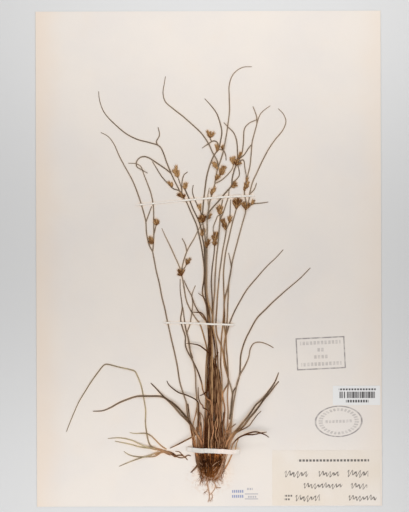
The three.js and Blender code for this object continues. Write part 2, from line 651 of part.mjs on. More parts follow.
// The sixth stem's two long bracts and its side branch, which lie over it at their forks
addStrands('culm_6_right_bract', MATERIALS.culm, {
  strands: [
    bract([[5.3, 63.7], [7, 73], [10.3, 83], [13.2, 94], [15.5, 107], [17.8, 123], [17.8, 137],
      [17.6, 146], [20, 154], [24.5, 159.3], [30, 162], [37, 162.2]]),
    stalk([[5.3, 63.7], [10.5, 66], [16, 70.8], [20, 76], [21.4, 80.4]]),
    stalk([[5.8, 65.4], [8, 68.4], [10, 71.4], [11.4, 74]]),
  ],
  clusters: [
    { at: [6.4, 66.2], tips: [[7.6, 72], [10.4, 70.6]] },
    { at: [9.6, 70.8], tips: [[10.4, 77.4], [14.2, 74.6]] },
    { at: [11.2, 73.8], tips: [[12.6, 79.6], [15.4, 78.4]] },
    { at: [7.6, 75.2], tips: [[3, 82.6], [5.4, 82.2]] },
    { at: [21.2, 79.4], tips: [[18.6, 86.6], [21.8, 87.4]] },
  ],
});
addStrands('culm_6_left_bract', MATERIALS.culm, {
  strands: [
    bract([[8.2, 77], [7.5, 82.5], [3.5, 90], [0, 97.5], [-5, 105], [-12, 112], [-20, 119.3],
      [-30, 127.3], [-36.5, 133.3], [-38.3, 140], [-37.2, 148], [-36.2, 154.5]]),
  ],
});
addStrands('culm_6_branch', MATERIALS.culm, {
  strands: [
    culm([[-0.9, 33.4], [0, 38.5], [3.5, 43.2], [8, 48], [12.3, 53.5], [16, 57.7], [19.3, 61.5], [20, 68],
      [21.8, 75], [24.5, 81]]),
    stalk([[20, 64.4], [23.4, 66.8], [26, 70.6], [25.7, 76], [24.6, 80.4]]),
    bract([[24.5, 81], [24.7, 91], [23.8, 100], [21, 107], [16.5, 111.5], [12.9, 115.3]]),
    bract([[24.5, 81], [28.3, 89], [29.6, 99], [30.8, 110.5], [35, 115], [41.5, 117.6]]),
    stalk([[26.4, 84.8], [30.5, 88], [34.3, 93.8], [36.4, 96.3]]),
    stalk([[25, 81.8], [29.4, 83.4], [30.7, 77], [32, 69]]),
  ],
  clusters: [
    { at: [24, 78.6], tips: [[25.8, 85.2], [22.6, 84.8], [28.4, 81.6]] },
    { at: [26, 84], tips: [[27.6, 90.8]] },
    { at: [19.4, 60.8], tips: [[25.2, 62.4], [23.8, 65.6]] },
  ],
});

// The basal leaves, each from its foot in the tuft to its tip
const LEAVES = [
  [[-7.6, -162], [-7.6, -147], [-8.8, -137], [-10, -129], [-10.3, -121], [-11.1, -110], [-11.5, -99],
    [-12.8, -90], [-14.8, -83], [-16.8, -74], [-17.6, -68], [-18.5, -62.5], [-16.2, -56], [-14.5, -46],
    [-13.8, -38], [-14.3, -31], [-11.5, -22.5]],
  [[2.2, -131], [2, -124], [1, -119.5], [-1.8, -117.6], [-3.6, -114.2], [-5.2, -110.5], [-6.5, -104.5],
    [-10, -94], [-14.8, -84.5], [-17.5, -79.5], [-19.9, -73], [-20.1, -66], [-22.5, -58], [-24, -51],
    [-22.6, -41], [-24.2, -27], [-24.2, -17]],
  [[2, -72], [1.2, -64], [-0.4, -57], [-2.2, -53], [-5.5, -49], [-9, -44.5], [-12, -39], [-14.5, -32],
    [-18, -25], [-21, -18]],
  [[-13.8, -84], [-15.6, -78.5], [-17.2, -69], [-18.8, -63], [-20, -57], [-21.2, -49], [-22, -41]],
  [[-1.6, -55], [-2.8, -51], [-4.8, -47.2], [-7, -45.4], [-10.5, -45.2], [-14.5, -45]],
  [[0.6, -81], [-1.5, -78.3], [-5, -75.3], [-8.5, -73], [-14, -71.8], [-19.3, -71.5]],
  [[1.4, -82], [1, -68], [0.6, -58], [-0.2, -50], [-1.3, -43], [-2.3, -37], [-4.6, -32.4], [-9, -29]],
  [[14.2, -68], [13.4, -60], [13.2, -50], [12.9, -38], [13.8, -32], [16.2, -23], [18.3, -13], [19, -7],
    [18.2, -1.5], [16.8, 5]],
  [[11.8, -162], [12, -148], [12.4, -136], [13, -126], [12, -119.5], [11.2, -114.5], [13.6, -109.3],
    [16, -105.3], [16, -99], [14.4, -91], [13.1, -83], [12.7, -76], [13.3, -69], [15.8, -60.5], [17.7, -54],
    [22, -44], [27, -34.5], [33.5, -24.5], [42, -14.8], [50, -5.7], [56.5, 0.3], [63, 7.5]],
  [[17, -136], [18.4, -128], [19, -120], [19.8, -114.5], [21, -111], [22.9, -108.5], [24.4, -104],
    [25.7, -98], [26.4, -90], [27, -81], [30.3, -70], [35.5, -59], [41, -50], [49, -42], [61, -30.7],
    [72, -21.3], [80, -14.2], [86, -8]],
  [[17, -158], [17.8, -150], [18.4, -142], [19, -134], [20, -126], [21, -119], [22.6, -111], [24, -104],
    [26.4, -97.5], [29.8, -92], [33.2, -84], [35, -76], [38, -71.7], [43, -70.7], [49, -72.5],
    [54.5, -75.7]],
  [[13.4, -158.5], [15.8, -152.5], [19.5, -147.5], [23.5, -143.8], [27, -139.7], [31, -134.8], [35.5, -129],
    [39.5, -123.5], [44.2, -119.3], [49.5, -113.5], [55.3, -105], [58.8, -96.5]],
  [[15.6, -158.5], [18, -152], [21.8, -147], [26, -143.3], [29.6, -139.8], [33.2, -135], [37.6, -130],
    [42, -124.4], [46, -119.3], [50.8, -114], [55.5, -108], [59, -104]],
  [[16, -162], [17, -155], [19.6, -150], [22, -146.6], [26, -144.4], [30, -142.5], [33.8, -140], [36, -137],
    [40.5, -131.5], [43.8, -128.3]],
  [[18, -159.8], [19.6, -155.5], [22.5, -152], [26, -149.5], [30, -148], [37, -147.8], [44, -146.6],
    [48.5, -146]],
  [[27, -148.8], [30.5, -147.3], [34, -146.2], [39, -145.5], [43.5, -146.8], [47, -148.3], [50.3, -150.5]],
  [[12.6, -177], [15, -173], [17.4, -168], [19.5, -163.5], [21.3, -162], [22.8, -154.5], [24.6, -150.5]],
  [[-6.4, -162], [-7, -154], [-9.2, -149.6], [-12.2, -145], [-15.8, -139.8], [-20, -135.2], [-25.5, -129.8],
    [-31, -123.5], [-37, -117.8], [-41, -116.4], [-50, -116.1], [-60, -116.2], [-68, -118.4], [-76, -121.5],
    [-83, -125.5], [-90, -128.2], [-98.5, -128.8]],
  [[-10, -148], [-12.5, -143.5], [-15, -139.5], [-19, -134], [-22.4, -129.8], [-26, -125.8], [-31, -121.7],
    [-36, -118.6], [-40, -114.8], [-45, -109.5], [-49.5, -105]],
  [[-9.5, -142], [-8.6, -134], [-8.8, -127], [-9.4, -121], [-11.5, -118.7], [-15, -116.7], [-20, -114.7],
    [-25.5, -113.2], [-30, -110.2], [-34, -106.5], [-35.8, -103]],
  [[2.2, -136], [1.2, -131], [-0.4, -127.9], [-2.6, -126], [-5, -125], [-5.4, -123.2], [-7.2, -121.4],
    [-8.8, -118], [-9.3, -113], [-9.2, -108]],
  [[-0.8, -105.5], [-0.8, -110.4], [-3, -112.2], [-5.4, -113.9], [-8, -115]],
  [[-12.4, -149], [-15, -150.3], [-20, -153], [-25, -155.8], [-33.5, -160]],
  [[15.4, -147], [17, -143.6], [19.5, -141.3], [22.5, -139]],
  [[10.4, -150], [10.3, -144], [11, -138.5], [11.8, -134], [12.2, -129]],
  [[5, -92], [5.6, -86], [6.3, -82.5], [8, -78.5]],
];
const WIDE_LEAVES = [12, 13, 18, 19];
LEAVES.forEach((route, i) => {
  const width = WIDE_LEAVES.includes(i + 1) ? WIDE_LEAF_WIDTH : LEAF_WIDTH;
  addStrands(`leaf_${i + 1}`, MATERIALS.leaf, { strands: [blade(route, width)] });
});

// The gummed paper straps: flat on the sheet at both ends, and stretched over what they hold
const STRAPS = [
  { name: 'strap_top', width: 1.5, route: [[-61.5, 45.6], [-47.5, 46.8], [-25, 49], [-5, 50.7],
    [15, 52.2], [39, 53.1]] },
  { name: 'strap_middle', width: 1.5, route: [[-39, -54], [-22, -54.3], [0, -55], [22, -56.1]] },
  { name: 'strap_base', width: 3.9, route: [[-19, -161], [-10, -161.3], [6, -161.6], [25.5, -162.1]] },
];
for (const { name, width, route } of STRAPS) {
  const paper = { thickness: SLIP_THICKNESS, tip: 1, steepest: STRAP_STEEPEST, section: STRIP };
  addPiece(name, settle(lay({ route, width, ...paper })), MATERIALS.strap);
}

export default specimen;
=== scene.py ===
import math

import bpy
import numpy as np
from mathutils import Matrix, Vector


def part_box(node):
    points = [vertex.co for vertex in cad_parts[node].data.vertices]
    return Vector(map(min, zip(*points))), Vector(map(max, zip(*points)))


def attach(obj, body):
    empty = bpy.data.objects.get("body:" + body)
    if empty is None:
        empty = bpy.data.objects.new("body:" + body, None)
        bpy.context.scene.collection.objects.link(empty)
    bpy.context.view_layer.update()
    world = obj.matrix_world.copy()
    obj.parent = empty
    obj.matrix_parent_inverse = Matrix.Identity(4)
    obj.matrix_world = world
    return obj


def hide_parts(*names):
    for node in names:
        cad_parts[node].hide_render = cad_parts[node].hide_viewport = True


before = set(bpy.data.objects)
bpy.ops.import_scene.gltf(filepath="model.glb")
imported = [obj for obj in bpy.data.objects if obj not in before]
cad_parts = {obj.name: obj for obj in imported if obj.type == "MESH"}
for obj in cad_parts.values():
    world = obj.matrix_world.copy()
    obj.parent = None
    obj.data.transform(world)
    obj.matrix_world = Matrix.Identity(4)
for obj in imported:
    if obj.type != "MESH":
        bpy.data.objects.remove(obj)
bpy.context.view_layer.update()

# The mounting sheet: one heavy sheet of cream rag paper, a little darker along its side edges, lying
# face up under everything else. Two worn ink stamps and a few small printed and pencilled marks are
# on it, here as plain frames, rings, rules and dashes.
MM = 0.001
SHEET_LOW, SHEET_HIGH = [np.array(corner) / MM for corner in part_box("mounting_sheet")]
SHEET_CREAM = (221, 213, 205)
SHEET_WARM = (222, 204, 186)
SHEET_GREY = (217, 210, 204)
SHEET_WARM_LIGHT = (236, 212, 188)
SPECK_BROWN = (168, 142, 112)
ROOT_DUST = (196, 156, 120)
INK = (100, 94, 96)
BLUE_INK = (118, 132, 172)
PENCIL = (150, 150, 160)
STAMP_LINE = 0.4
INK_BLEED = 0.25


def screen_colour(values):
    """A colour given as three screen values from 0 to 255, as linear light."""
    screen = np.array(values) / 255
    linear = np.where(screen <= 0.04045, screen / 12.92, ((screen + 0.055) / 1.055) ** 2.4)
    return (*linear.tolist(), 1.0)


def operator(operation):
    """An operator on sockets and its reflected form. Each adds a Math node."""

    def forward(wire, other):
        return wire.math(operation, other)

    def reflected(wire, other):
        return wire.recipe.node("ShaderNodeMath", {"operation": operation}, {0: other, 1: wire})

    return forward, reflected


class Wire:
    """A shader socket. Arithmetic on it adds Math nodes, and a | b is the larger of a and b."""

    def __init__(self, recipe, socket):
        self.recipe = recipe
        self.socket = socket

    def math(self, operation, *values):
        return self.recipe.node("ShaderNodeMath", {"operation": operation}, dict(enumerate([self, *values])))

    def __abs__(self):
        return self.math("ABSOLUTE")

    __add__, __radd__ = operator("ADD")
    __sub__, __rsub__ = operator("SUBTRACT")
    __mul__, __rmul__ = operator("MULTIPLY")
    __truediv__, __rtruediv__ = operator("DIVIDE")
    __or__, __ror__ = operator("MAXIMUM")


class Recipe:
    """A procedural material. Object coordinates are in metres, and the recipe's own are in millimetres."""

    def __init__(self, name):
        self.material = bpy.data.materials.new(name)
        self.material.use_nodes = True
        self.tree = self.material.node_tree
        place = self.node("ShaderNodeTexCoord", {}, {}, out="Object")
        self.place = self.node("ShaderNodeVectorMath", {"operation": "SCALE"}, {0: place, "Scale": 1 / MM})
        self.x, self.y, self.z = self.split(self.place)

    def node(self, kind, settings, sockets, out=0):
        """Adds a node, applies its settings, then fills its sockets with values or links."""
        made = self.tree.nodes.new(kind)
        for key, value in settings.items():
            setattr(made, key, value)
        self.fill(made, sockets)
        return Wire(self, made.outputs[out])

    def fill(self, made, sockets):
        for key, value in sockets.items():
            if isinstance(value, Wire):
                self.tree.links.new(value.socket, made.inputs[key])
            else:
                made.inputs[key].default_value = value

    def split(self, vector):
        """The three parts of a vector."""
        first = self.node("ShaderNodeSeparateXYZ", {}, {0: vector})
        return [Wire(self, socket) for socket in first.socket.node.outputs]

    def join(self, x, y, z):
        return self.node("ShaderNodeCombineXYZ", {}, {0: x, 1: y, 2: z})

    def kept(self, attribute):
        """A number that is kept on the mesh's points."""
        return self.node("ShaderNodeAttribute", {"attribute_name": attribute}, {}, out="Fac")

    def mix(self, share, first, second):
        """A blend of two colours. Each is a socket, or three screen values."""
        first, second = [c if isinstance(c, Wire) else screen_colour(c) for c in (first, second)]
        return self.node("ShaderNodeMix", {"data_type": "RGBA"}, {0: share, 6: first, 7: second}, out=2)

    def rise(self, value, low, high):
        """0 at low and 1 at high, with a smooth step between them, whichever is the larger."""
        sockets = {"Value": value, "From Min": low, "From Max": high}
        return self.node("ShaderNodeMapRange", {"interpolation_type": "SMOOTHSTEP"}, sockets)

    def noise(self, vector, size, detail=2.0, roughness=0.5):
        """Cloudy noise from 0 to 1 with patches of about the given size, in the vector's own units."""
        sockets = {"Vector": vector, "Scale": 1 / size, "Detail": detail, "Roughness": roughness}
        return self.node("ShaderNodeTexNoise", {}, sockets)

    def finish(self, colour, roughness, height, depth, gloss):
        """Wires the shader: colour, roughness, and a bump whose height of 1 stands depth millimetres."""
        shader = self.tree.nodes["Principled BSDF"]
        bump = self.node("ShaderNodeBump", {}, {"Height": height, "Distance": depth * MM, "Strength": 1.0})
        self.fill(shader, {"Base Color": colour, "Roughness": roughness, "Normal": bump})
        self.fill(shader, {"Specular IOR Level": gloss})
        return self.material


def line_at(recipe, distance, half_width):
    """1 where the distance is within half_width, fading to 0 just past it."""
    return recipe.rise(abs(distance), half_width + INK_BLEED, half_width)


def dashes(recipe, *rows, axes=None):
    """Rows of even dashes: 1 on a dash, 0 off it. A row is its middle, its width and height, and its
    period."""
    x, y = axes or (recipe.x, recipe.y)
    ink = 0.0
    for middle, size, period in rows:
        along = line_at(recipe, x - middle[0], size[0] / 2)
        across = line_at(recipe, y - middle[1], size[1] / 2)
        dash = recipe.rise(x.math("PINGPONG", period / 2), period * 0.12, period * 0.2)
        ink = along * across * dash | ink
    return ink


def turned(recipe, middle, degrees):
    """The recipe's x and y measured from a middle and turned."""
    cosine, sine = math.cos(math.radians(degrees)), math.sin(math.radians(degrees))
    x, y = recipe.x - middle[0], recipe.y - middle[1]
    return x * cosine + y * sine, y * cosine - x * sine


def box_stamp(recipe):
    """The worn rectangular stamp: a ruled frame round four rows of dashes."""
    half_width, half_height = 20.2, 13.1
    x, y = turned(recipe, (94.5, -80.3), 2.6)
    rule = line_at(recipe, (abs(x) - half_width) | (abs(y) - half_height), STAMP_LINE)
    widths = ((9.0, 34.0), (3.0, 6.0), (-3.0, 13.0), (-9.0, 34.0))
    rows = [((0.0, height), (width, 2.8), 3.1) for height, width in widths]
    return rule | dashes(recipe, *rows, axes=(x, y)) * 0.5


def oval_stamp(recipe):
    """The worn oval stamp: a ring round a ring of dashes, with a row of dashes across its middle."""
    half_width, half_height, mean_radius = 19.6, 12.8, 15.0
    x, y = turned(recipe, (109.5, -138.0), 2.0)
    across, up = x / half_width, y / half_height
    radius = (across * across + up * up).math("SQRT")
    ring = line_at(recipe, (radius - 1.0) * mean_radius, STAMP_LINE)
    dash = recipe.rise(up.math("ARCTAN2", across).math("PINGPONG", 0.105), 0.03, 0.05)
    dash_ring = dash * line_at(recipe, (radius - 0.78) * mean_radius, 1.2)
    return ring | dash_ring * 0.5 | dashes(recipe, ((0.0, 0.0), (24.0, 2.2), 2.9), axes=(x, y)) * 0.5


def pencil_marks(recipe):
    """Short pencilled strokes, and two ruled lines under them."""
    strokes = dashes(recipe, ((34.0, -195.0), (5.0, 1.6), 2.1), ((36.0, -201.6), (7.0, 1.4), 1.9))
    for height in (-199.2, -203.4):
        strokes = strokes | line_at(recipe, recipe.x - 35.5, 5.5) * line_at(recipe, recipe.y - height, 0.3)
    return strokes


def paper_recipe(name, cream, warm, grey):
    """Rag paper: clouds of grey, warmer patches, a fine mottle and rare brown specks. The mottle is
    given back too, for the surface."""
    recipe = Recipe(name)
    clouds = recipe.noise(recipe.place, 55.0, 4.0)
    mottle = recipe.noise(recipe.place, 1.1, 5.0, 0.7)
    specks = recipe.noise(recipe.place, 0.45, 1.0)
    patches = recipe.noise(recipe.place, 24.0, 3.0)
    tone = recipe.mix(recipe.rise(clouds, 0.35, 0.7), cream, grey)
    tone = recipe.mix(recipe.rise(patches, 0.5, 0.85) * 0.14, tone, warm)
    tone = recipe.mix(recipe.rise(mottle, 0.45, 0.8) * 0.08, tone, [c * 0.88 for c in cream])
    tone = recipe.mix(recipe.rise(specks, 0.79, 0.86) * 0.25, tone, SPECK_BROWN)
    return recipe, tone, mottle


def paper_finish(recipe, tone, mottle):
    """The surface of rag paper: dull, with the mottle and a softer felt standing up in it."""
    felt = recipe.noise(recipe.place, 2.6, 3.0)
    return recipe.finish(tone, mottle * 0.12 + 0.82, mottle * 0.6 + felt * 0.4, depth=0.05, gloss=0.25)


def sheet_material():
    """The sheet's paper: warm along its side edges, with painted warm light beside the tuft's foot and by a
    share that is kept on its points, dusty under the roots, then stamped and marked."""
    recipe, tone, mottle = paper_recipe("rag_paper", SHEET_CREAM, SHEET_WARM, SHEET_GREY)
    x, y, rise = recipe.x, recipe.y, recipe.rise
    ragged = (recipe.noise(recipe.place, 30.0) - 0.5) * 16.0
    edges = rise(x + ragged, -118.0, -147.0) * 0.6 + rise(x + ragged, 118.0, 150.0) * 0.35
    tone = recipe.mix(edges, tone, SHEET_WARM)
    # Painted warm light beside the plant, over the shade that it casts on the paper: a band beside the tuft's
    # foot, and the share kept on the sheet's points.
    beside_foot = rise(abs(x - 2.5) + ragged * 0.3, 21.0, 9.0) * rise(y, -40.0, -130.0)
    beside_foot *= rise(y, -196.0, -178.0)
    warm_light = beside_foot * 0.5 | rise(recipe.kept("warm_light_share"), 0.05, 0.55) * 0.8
    tone = recipe.mix(warm_light, tone, SHEET_WARM_LIGHT)
    across, down = (x - 1.0) / 24.0, (y + 184.0) / 20.0
    near_roots = rise(across * across + down * down, 1.0, 0.0)
    dust = near_roots * rise(recipe.noise(recipe.place, 3.0, 5.0), 0.42, 0.7)
    tone = recipe.mix(dust * 0.4, tone, ROOT_DUST)
    worn = rise(recipe.noise(recipe.place, 4.0, 4.0), 0.3, 0.62) * 0.42 + 0.3
    tone = recipe.mix((box_stamp(recipe) | oval_stamp(recipe)) * worn, tone, INK)
    blue_print = dashes(recipe, ((24.2, -197.0), (9.8, 2.1), 1.7), ((23.9, -201.2), (9.4, 2.1), 1.7))
    tone = recipe.mix(blue_print * 0.85, tone, BLUE_INK)
    tone = recipe.mix(pencil_marks(recipe) * 0.7, tone, PENCIL)
    return paper_finish(recipe, tone, mottle)


def set_down(mesh):
    """An object of a mesh's own name, put into the scene."""
    made = bpy.data.objects.new(mesh.name, mesh)
    bpy.context.scene.collection.objects.link(made)
    return made


def paper_slab(name, low, high, spacing, sway):
    """A sheet of paper as a closed slab. Its top and underside are grids over x and y, with lines close
    to the edges. Both sway up and down together by a sum of slow sines, and the rims are rounded by
    drawing the outermost grid lines in from the face."""
    columns, rows = [max(6, int(round((high[i] - low[i]) / spacing))) for i in (0, 1)]
    rim = 0.25 * (high[2] - low[2])

    def lines(start, end, count):
        inner = np.linspace(start + rim, end - rim, count)
        return np.concatenate([[start], inner, [end]])

    x, y = np.meshgrid(lines(low[0], high[0], columns), lines(low[1], high[1], rows), indexing="ij")
    wave = np.sin(x / 31.0 + 0.7) * np.cos(y / 43.0) + 0.6 * np.sin(x / 13.0 - y / 17.0)
    edge = np.ones_like(x)
    edge[1:-1, 1:-1] = 0.0
    lift = sway * wave / 1.6
    top = np.stack([x, y, high[2] + lift - rim * edge], axis=-1)
    base = np.stack([x, y, low[2] + np.maximum(lift, 0.0) * 0.5 + rim * edge], axis=-1)
    grid = np.arange(x.size).reshape(x.shape)
    quads = np.stack([grid[:-1, :-1], grid[1:, :-1], grid[1:, 1:], grid[:-1, 1:]], axis=-1).reshape(-1, 4)
    ring = np.concatenate([grid[:-1, 0], grid[-1, :-1], grid[:0:-1, -1], grid[0, :0:-1]])
    following = np.roll(ring, -1)
    under = x.size
    walls = np.stack([ring + under, following + under, following, ring], axis=-1)
    faces = np.concatenate([quads, quads[:, ::-1] + under, walls])
    corners = np.concatenate([top.reshape(-1, 3), base.reshape(-1, 3)]) * MM
    mesh = bpy.data.meshes.new(name)
    mesh.from_pydata(corners.tolist(), [], faces.tolist())
    mesh.update()
    return set_down(mesh)


def dress(made, node, slot, *materials):
    """Gives a finished piece its materials, and sets it on the body in place of its CAD node."""
    for material in materials:
        made.data.materials.append(material)
    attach(made, "root")
    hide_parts(node)


sheet = paper_slab("rag_sheet", SHEET_LOW, SHEET_HIGH, 2.0, 0.05)
dress(sheet, "mounting_sheet", "sheet_paper", sheet_material())

# The labels: a large slip of thin yellowed paper and a small whiter one, pasted flat at the lower
# right. On the large one are a dashed heading, plain pen waves and a little dashed small print, and on
# the small one a plain hatch between two dashed rows.
LABEL_CREAM = (217, 206, 193)
LABEL_WARM = (218, 199, 177)
SLIP_WHITE = (219, 218, 217)
PEN = (92, 86, 82)
PRINT = (66, 63, 64)
# Each pen wave is where it starts and ends, the height of its line, its swing and its wavelength.
PEN_WAVES = (
    (63.0, 84.0, -182.5, 1.7, 3.4),
    (91.5, 110.5, -182.5, 1.4, 3.1),
    (116.0, 135.0, -182.2, 1.8, 3.3),
    (79.0, 113.0, -192.5, 1.3, 3.0),
    (119.0, 134.0, -192.8, 1.4, 3.2),
    (72.0, 94.0, -203.0, 1.6, 3.2),
    (117.0, 142.0, -203.0, 1.3, 3.0),
)


def pen_wave(recipe, start, end, y, swing, wave):
    """A pen stroke that swings up and down in waves, now taller and now lower, and dies away at its
    ends. The height is sin(x) with a slower sine on top, and the line leans to the right."""
    middle, half = (start + end) / 2, (end - start) / 2
    turn = 2 * math.pi / wave
    phase = (recipe.x - start - (recipe.y - y) * 0.35) * turn
    tall = swing * (phase * 0.37).math("SINE") * 0.55 + swing
    slope = abs(phase.math("COSINE")) * (swing * turn) + 1.0
    distance = (recipe.y - y - phase.math("SINE") * tall - (phase * 0.21).math("SINE") * 0.5) / slope
    return line_at(recipe, distance, 0.2) * recipe.rise(abs(recipe.x - middle), half, half - 1.5)


def label_material():
    """The label's paper, with a heading, pen waves of uneven pressure and a little small print."""
    recipe, tone, mottle = paper_recipe("label_paper", LABEL_CREAM, LABEL_WARM, SHEET_CREAM)
    heading = ((105.0, -171.0), (60.0, 1.7), 2.9)
    small_print = (((66.6, -200.8), (6.4, 1.3), 2.2), ((65.6, -203.8), (4.6, 1.3), 2.2))
    pen = 0.0
    for stroke in PEN_WAVES:
        pen = pen_wave(recipe, *stroke) | pen
    pressure = recipe.rise(recipe.noise(recipe.place, 2.0), 0.2, 0.6) * 0.5 + 0.45
    tone = recipe.mix(pen * pressure, tone, PEN)
    tone = recipe.mix(dashes(recipe, heading, *small_print) * 0.85, tone, PRINT)
    return paper_finish(recipe, tone, mottle)


def slip_material():
    """The slip's paper, with a hatch that is spaced by two sines and a row of dashes on either side."""
    recipe, tone, mottle = paper_recipe("slip_paper", SLIP_WHITE, LABEL_CREAM, SLIP_WHITE)
    uneven = recipe.x + (recipe.x * 0.9).math("SINE") * 0.6 + (recipe.x * 2.3).math("SINE") * 0.25
    hatch = dashes(recipe, ((125.3, -115.6), (30.6, 5.2), 1.5), axes=(uneven, recipe.y))
    rows = dashes(recipe, ((125.3, -110.9), (31.0, 1.3), 2.4), ((125.3, -120.9), (19.0, 2.0), 2.2))
    tone = recipe.mix(hatch * 0.9 | rows * 0.95, tone, PRINT)
    return paper_finish(recipe, tone, mottle)


for node, slot, material in (
    ("main_label", "label_paper", label_material()),
    ("small_label", "slip_paper", slip_material()),
):
    corners = [np.array(corner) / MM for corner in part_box(node)]
    dress(paper_slab(f"{node}_slip", *corners, 1.2, 0.02), node, slot, material)

# The rootstock: a matted crown of root and old leaf bases, the fan of sheaths that grow up from it,
# and the roots that hang from it. It was washed, pressed and dried in one clump, and it lies on the
# sheet under the strap at the plant's foot. Everything above it is laid over what is already there.
CELL = 0.3
GAP = 0.08
PRESSED_GAIN = 0.2
STEEPEST = 0.14
SAMPLE_STEP = 0.5
CURVE_POINTS = 24
TAPER_POWER = 3.5
WANDER_LENGTHS = (3.1, 7.7)
WANDER_START = 6.0
ROLL_LENGTH = 16.0
SHEATH_BASE_THICKNESS = 1.5 + PRESSED_GAIN
ROOT_THICKNESS = 0.6 + PRESSED_GAIN
FINE_ROOT_LIMIT = 1.3
HAIR_POINTS = 12
MAT_POINTS = 22
MAT_TOP = -160.5
MAT_FOOT = -188.0
MAT_TIP = 0.4
DARK_ROOT = (42, 13, 0)
ROOT_BROWN = (160, 98, 50)
FINE_ROOT_DARK = (150, 106, 76)
FINE_ROOT_PALE = (212, 178, 150)
STRAW = (190, 150, 112)
RUDDY = (200, 138, 98)
EDGE_TAN = (206, 158, 118)
TUFT_MIDDLE = 3.0
CROWN_MIDDLE = np.array([1.6, -171.5])
CROWN_HALF = np.array([11.4, 14.5])
CROWN_HEIGHT = 3.1
chance = np.random.default_rng(11)
ground = np.full(np.ceil((SHEET_HIGH - SHEET_LOW)[:2] / CELL).astype(int), SHEET_HIGH[2])


def ground_cells(points):
    """The cells of the height field that points on the sheet fall in."""
    cells = ((points - SHEET_LOW[:2]) / CELL).astype(int)
    return cells[..., 0], cells[..., 1]


def left_of(path):
    """The unit direction to the left of a path at each of its points."""
    ahead = np.gradient(path, axis=0)
    ahead /= np.linalg.norm(ahead, axis=1)[:, None]
    return np.stack([-ahead[:, 1], ahead[:, 0]], axis=1)


def beside(path, offsets):
    """Points beside a path: at each of its points a row of them, that far to its left."""
    return path[:, None, :] + left_of(path)[:, None, :] * offsets[..., None]


def cells_under(path, half_widths):
    """The cells under a path from one edge to the other."""
    count = int(2 * np.max(half_widths) / (CELL / 2)) + 2
    return ground_cells(beside(path, np.linspace(-1.0, 1.0, count)[None, :] * half_widths[:, None]))


def distance_along(path):
    """How far along a path each of its points is."""
    return np.concatenate([[0.0], np.cumsum(np.linalg.norm(np.diff(path[:, :2], axis=0), axis=1))])


def smooth_route(route):
    """Points at even steps along the centripetal Catmull-Rom curve through a route: on each stretch
    a cubic Hermite blend of its ends, with tangents from its neighbours and knots apart by the
    square roots of the distances."""
    points = np.array(route, float)
    points = np.vstack([2 * points[0] - points[1], points, 2 * points[-1] - points[-2]])
    knots = np.linalg.norm(np.diff(points, axis=0), axis=1)[:, None] ** 0.5
    first, start, end, last = points[:-3], points[1:-2], points[2:-1], points[3:]
    before, here, after = knots[:-2], knots[1:-1], knots[2:]
    leave = ((start - first) / before - (end - first) / (before + here)) * here + (end - start)
    arrive = ((last - end) / after - (last - start) / (here + after)) * here + (end - start)
    t = np.linspace(0.0, 1.0, CURVE_POINTS, endpoint=False)[None, :, None]
    curve = (
        (2 * t**3 - 3 * t**2 + 1) * start[:, None]
        + (t**3 - 2 * t**2 + t) * leave[:, None]
        + (3 * t**2 - 2 * t**3) * end[:, None]
        + (t**3 - t**2) * arrive[:, None]
    )
    curve = np.vstack([curve.reshape(-1, 2), end[-1]])
    travelled = distance_along(curve)
    even = np.linspace(0.0, travelled[-1], max(5, int(travelled[-1] / SAMPLE_STEP) + 1))
    return np.stack([np.interp(even, travelled, curve[:, axis]) for axis in (0, 1)], axis=1)


class Strand:
    """A stem, leaf or root as it lies: its path on the sheet, with a width, thickness, roll, tone and
    height at each point. It lies just clear of the ground, and no stretch is steeper than its limit."""

    def __init__(self, route, width, thickness, tip=0.5, roll=0.0, tone=0.5, steepest=STEEPEST, sway=0.12,
                 ring="leaf", parents=()):
        self.joint = nearest(parents, route[0])
        if self.joint:
            parent, index = self.joint
            route = [parent.path[index], *route[1:]]
        self.path = smooth_route(route)
        self.along = distance_along(self.path)
        share = self.along / self.along[-1]
        short, long = WANDER_LENGTHS
        waves = sway * (np.sin(self.along / short + chance.uniform(0, 6)) + np.sin(self.along / long))
        waves *= np.minimum(1.0, self.along / WANDER_START) * 0.5
        self.path = self.path + left_of(self.path) * waves[:, None]
        taper = 1.0 - (1.0 - tip) * share**TAPER_POWER
        self.rolls = np.radians(roll) * np.sin(self.along / ROLL_LENGTH + chance.uniform(0, 6))
        self.widths, self.thicknesses = width * taper, thickness * taper
        flat, edge = self.widths / 2 * np.sin(self.rolls), self.thicknesses / 2 * np.cos(self.rolls)
        self.halves = np.hypot(flat, edge)
        self.steepest, self.tone, self.ring = steepest, tone, ring
        columns, rows = cells_under(self.path, self.widths / 2 + CELL)
        self.heights = ground[columns, rows].max(axis=1) + GAP
        self.settle()

    def settle(self):
        """Lifts neighbouring points until no stretch is too steep."""
        fall = self.steepest * self.along
        rising = np.maximum.accumulate(self.heights + fall) - fall
        self.heights = (np.maximum.accumulate((rising - fall)[::-1])[::-1]) + fall

    def press(self):
        """Adds the strand to the ground that later ones are laid on."""
        tops = self.heights + 2 * self.halves
        columns, rows = cells_under(self.path, self.widths / 2)
        np.maximum.at(ground, (columns, rows), np.broadcast_to(tops[:, None], columns.shape))


def nearest(strands, place):
    """The strand and the index on it that are nearest to a place, or None where there is no strand."""
    found = None
    for strand in strands:
        gaps = np.linalg.norm(strand.path - np.array(place), axis=1)
        index = int(gaps.argmin())
        if found is None or gaps[index] < found[0]:
            found = (gaps[index], strand, index)
    return found and found[1:]


def meet_at_joints(strands):
    """Lifts strands that grow from one another until they meet."""
    for _ in range(len(strands) + 2):
        for strand in strands:
            if strand.joint:
                parent, index = strand.joint
                height = max(strand.heights[0], parent.heights[index])
                strand.heights[0] = parent.heights[index] = height
                parent.settle()
            strand.settle()


def angles(sides):
    """As many angles as a ring has sides, from 0 round to just short of a full turn."""
    return np.arange(sides) / sides * 2 * math.pi


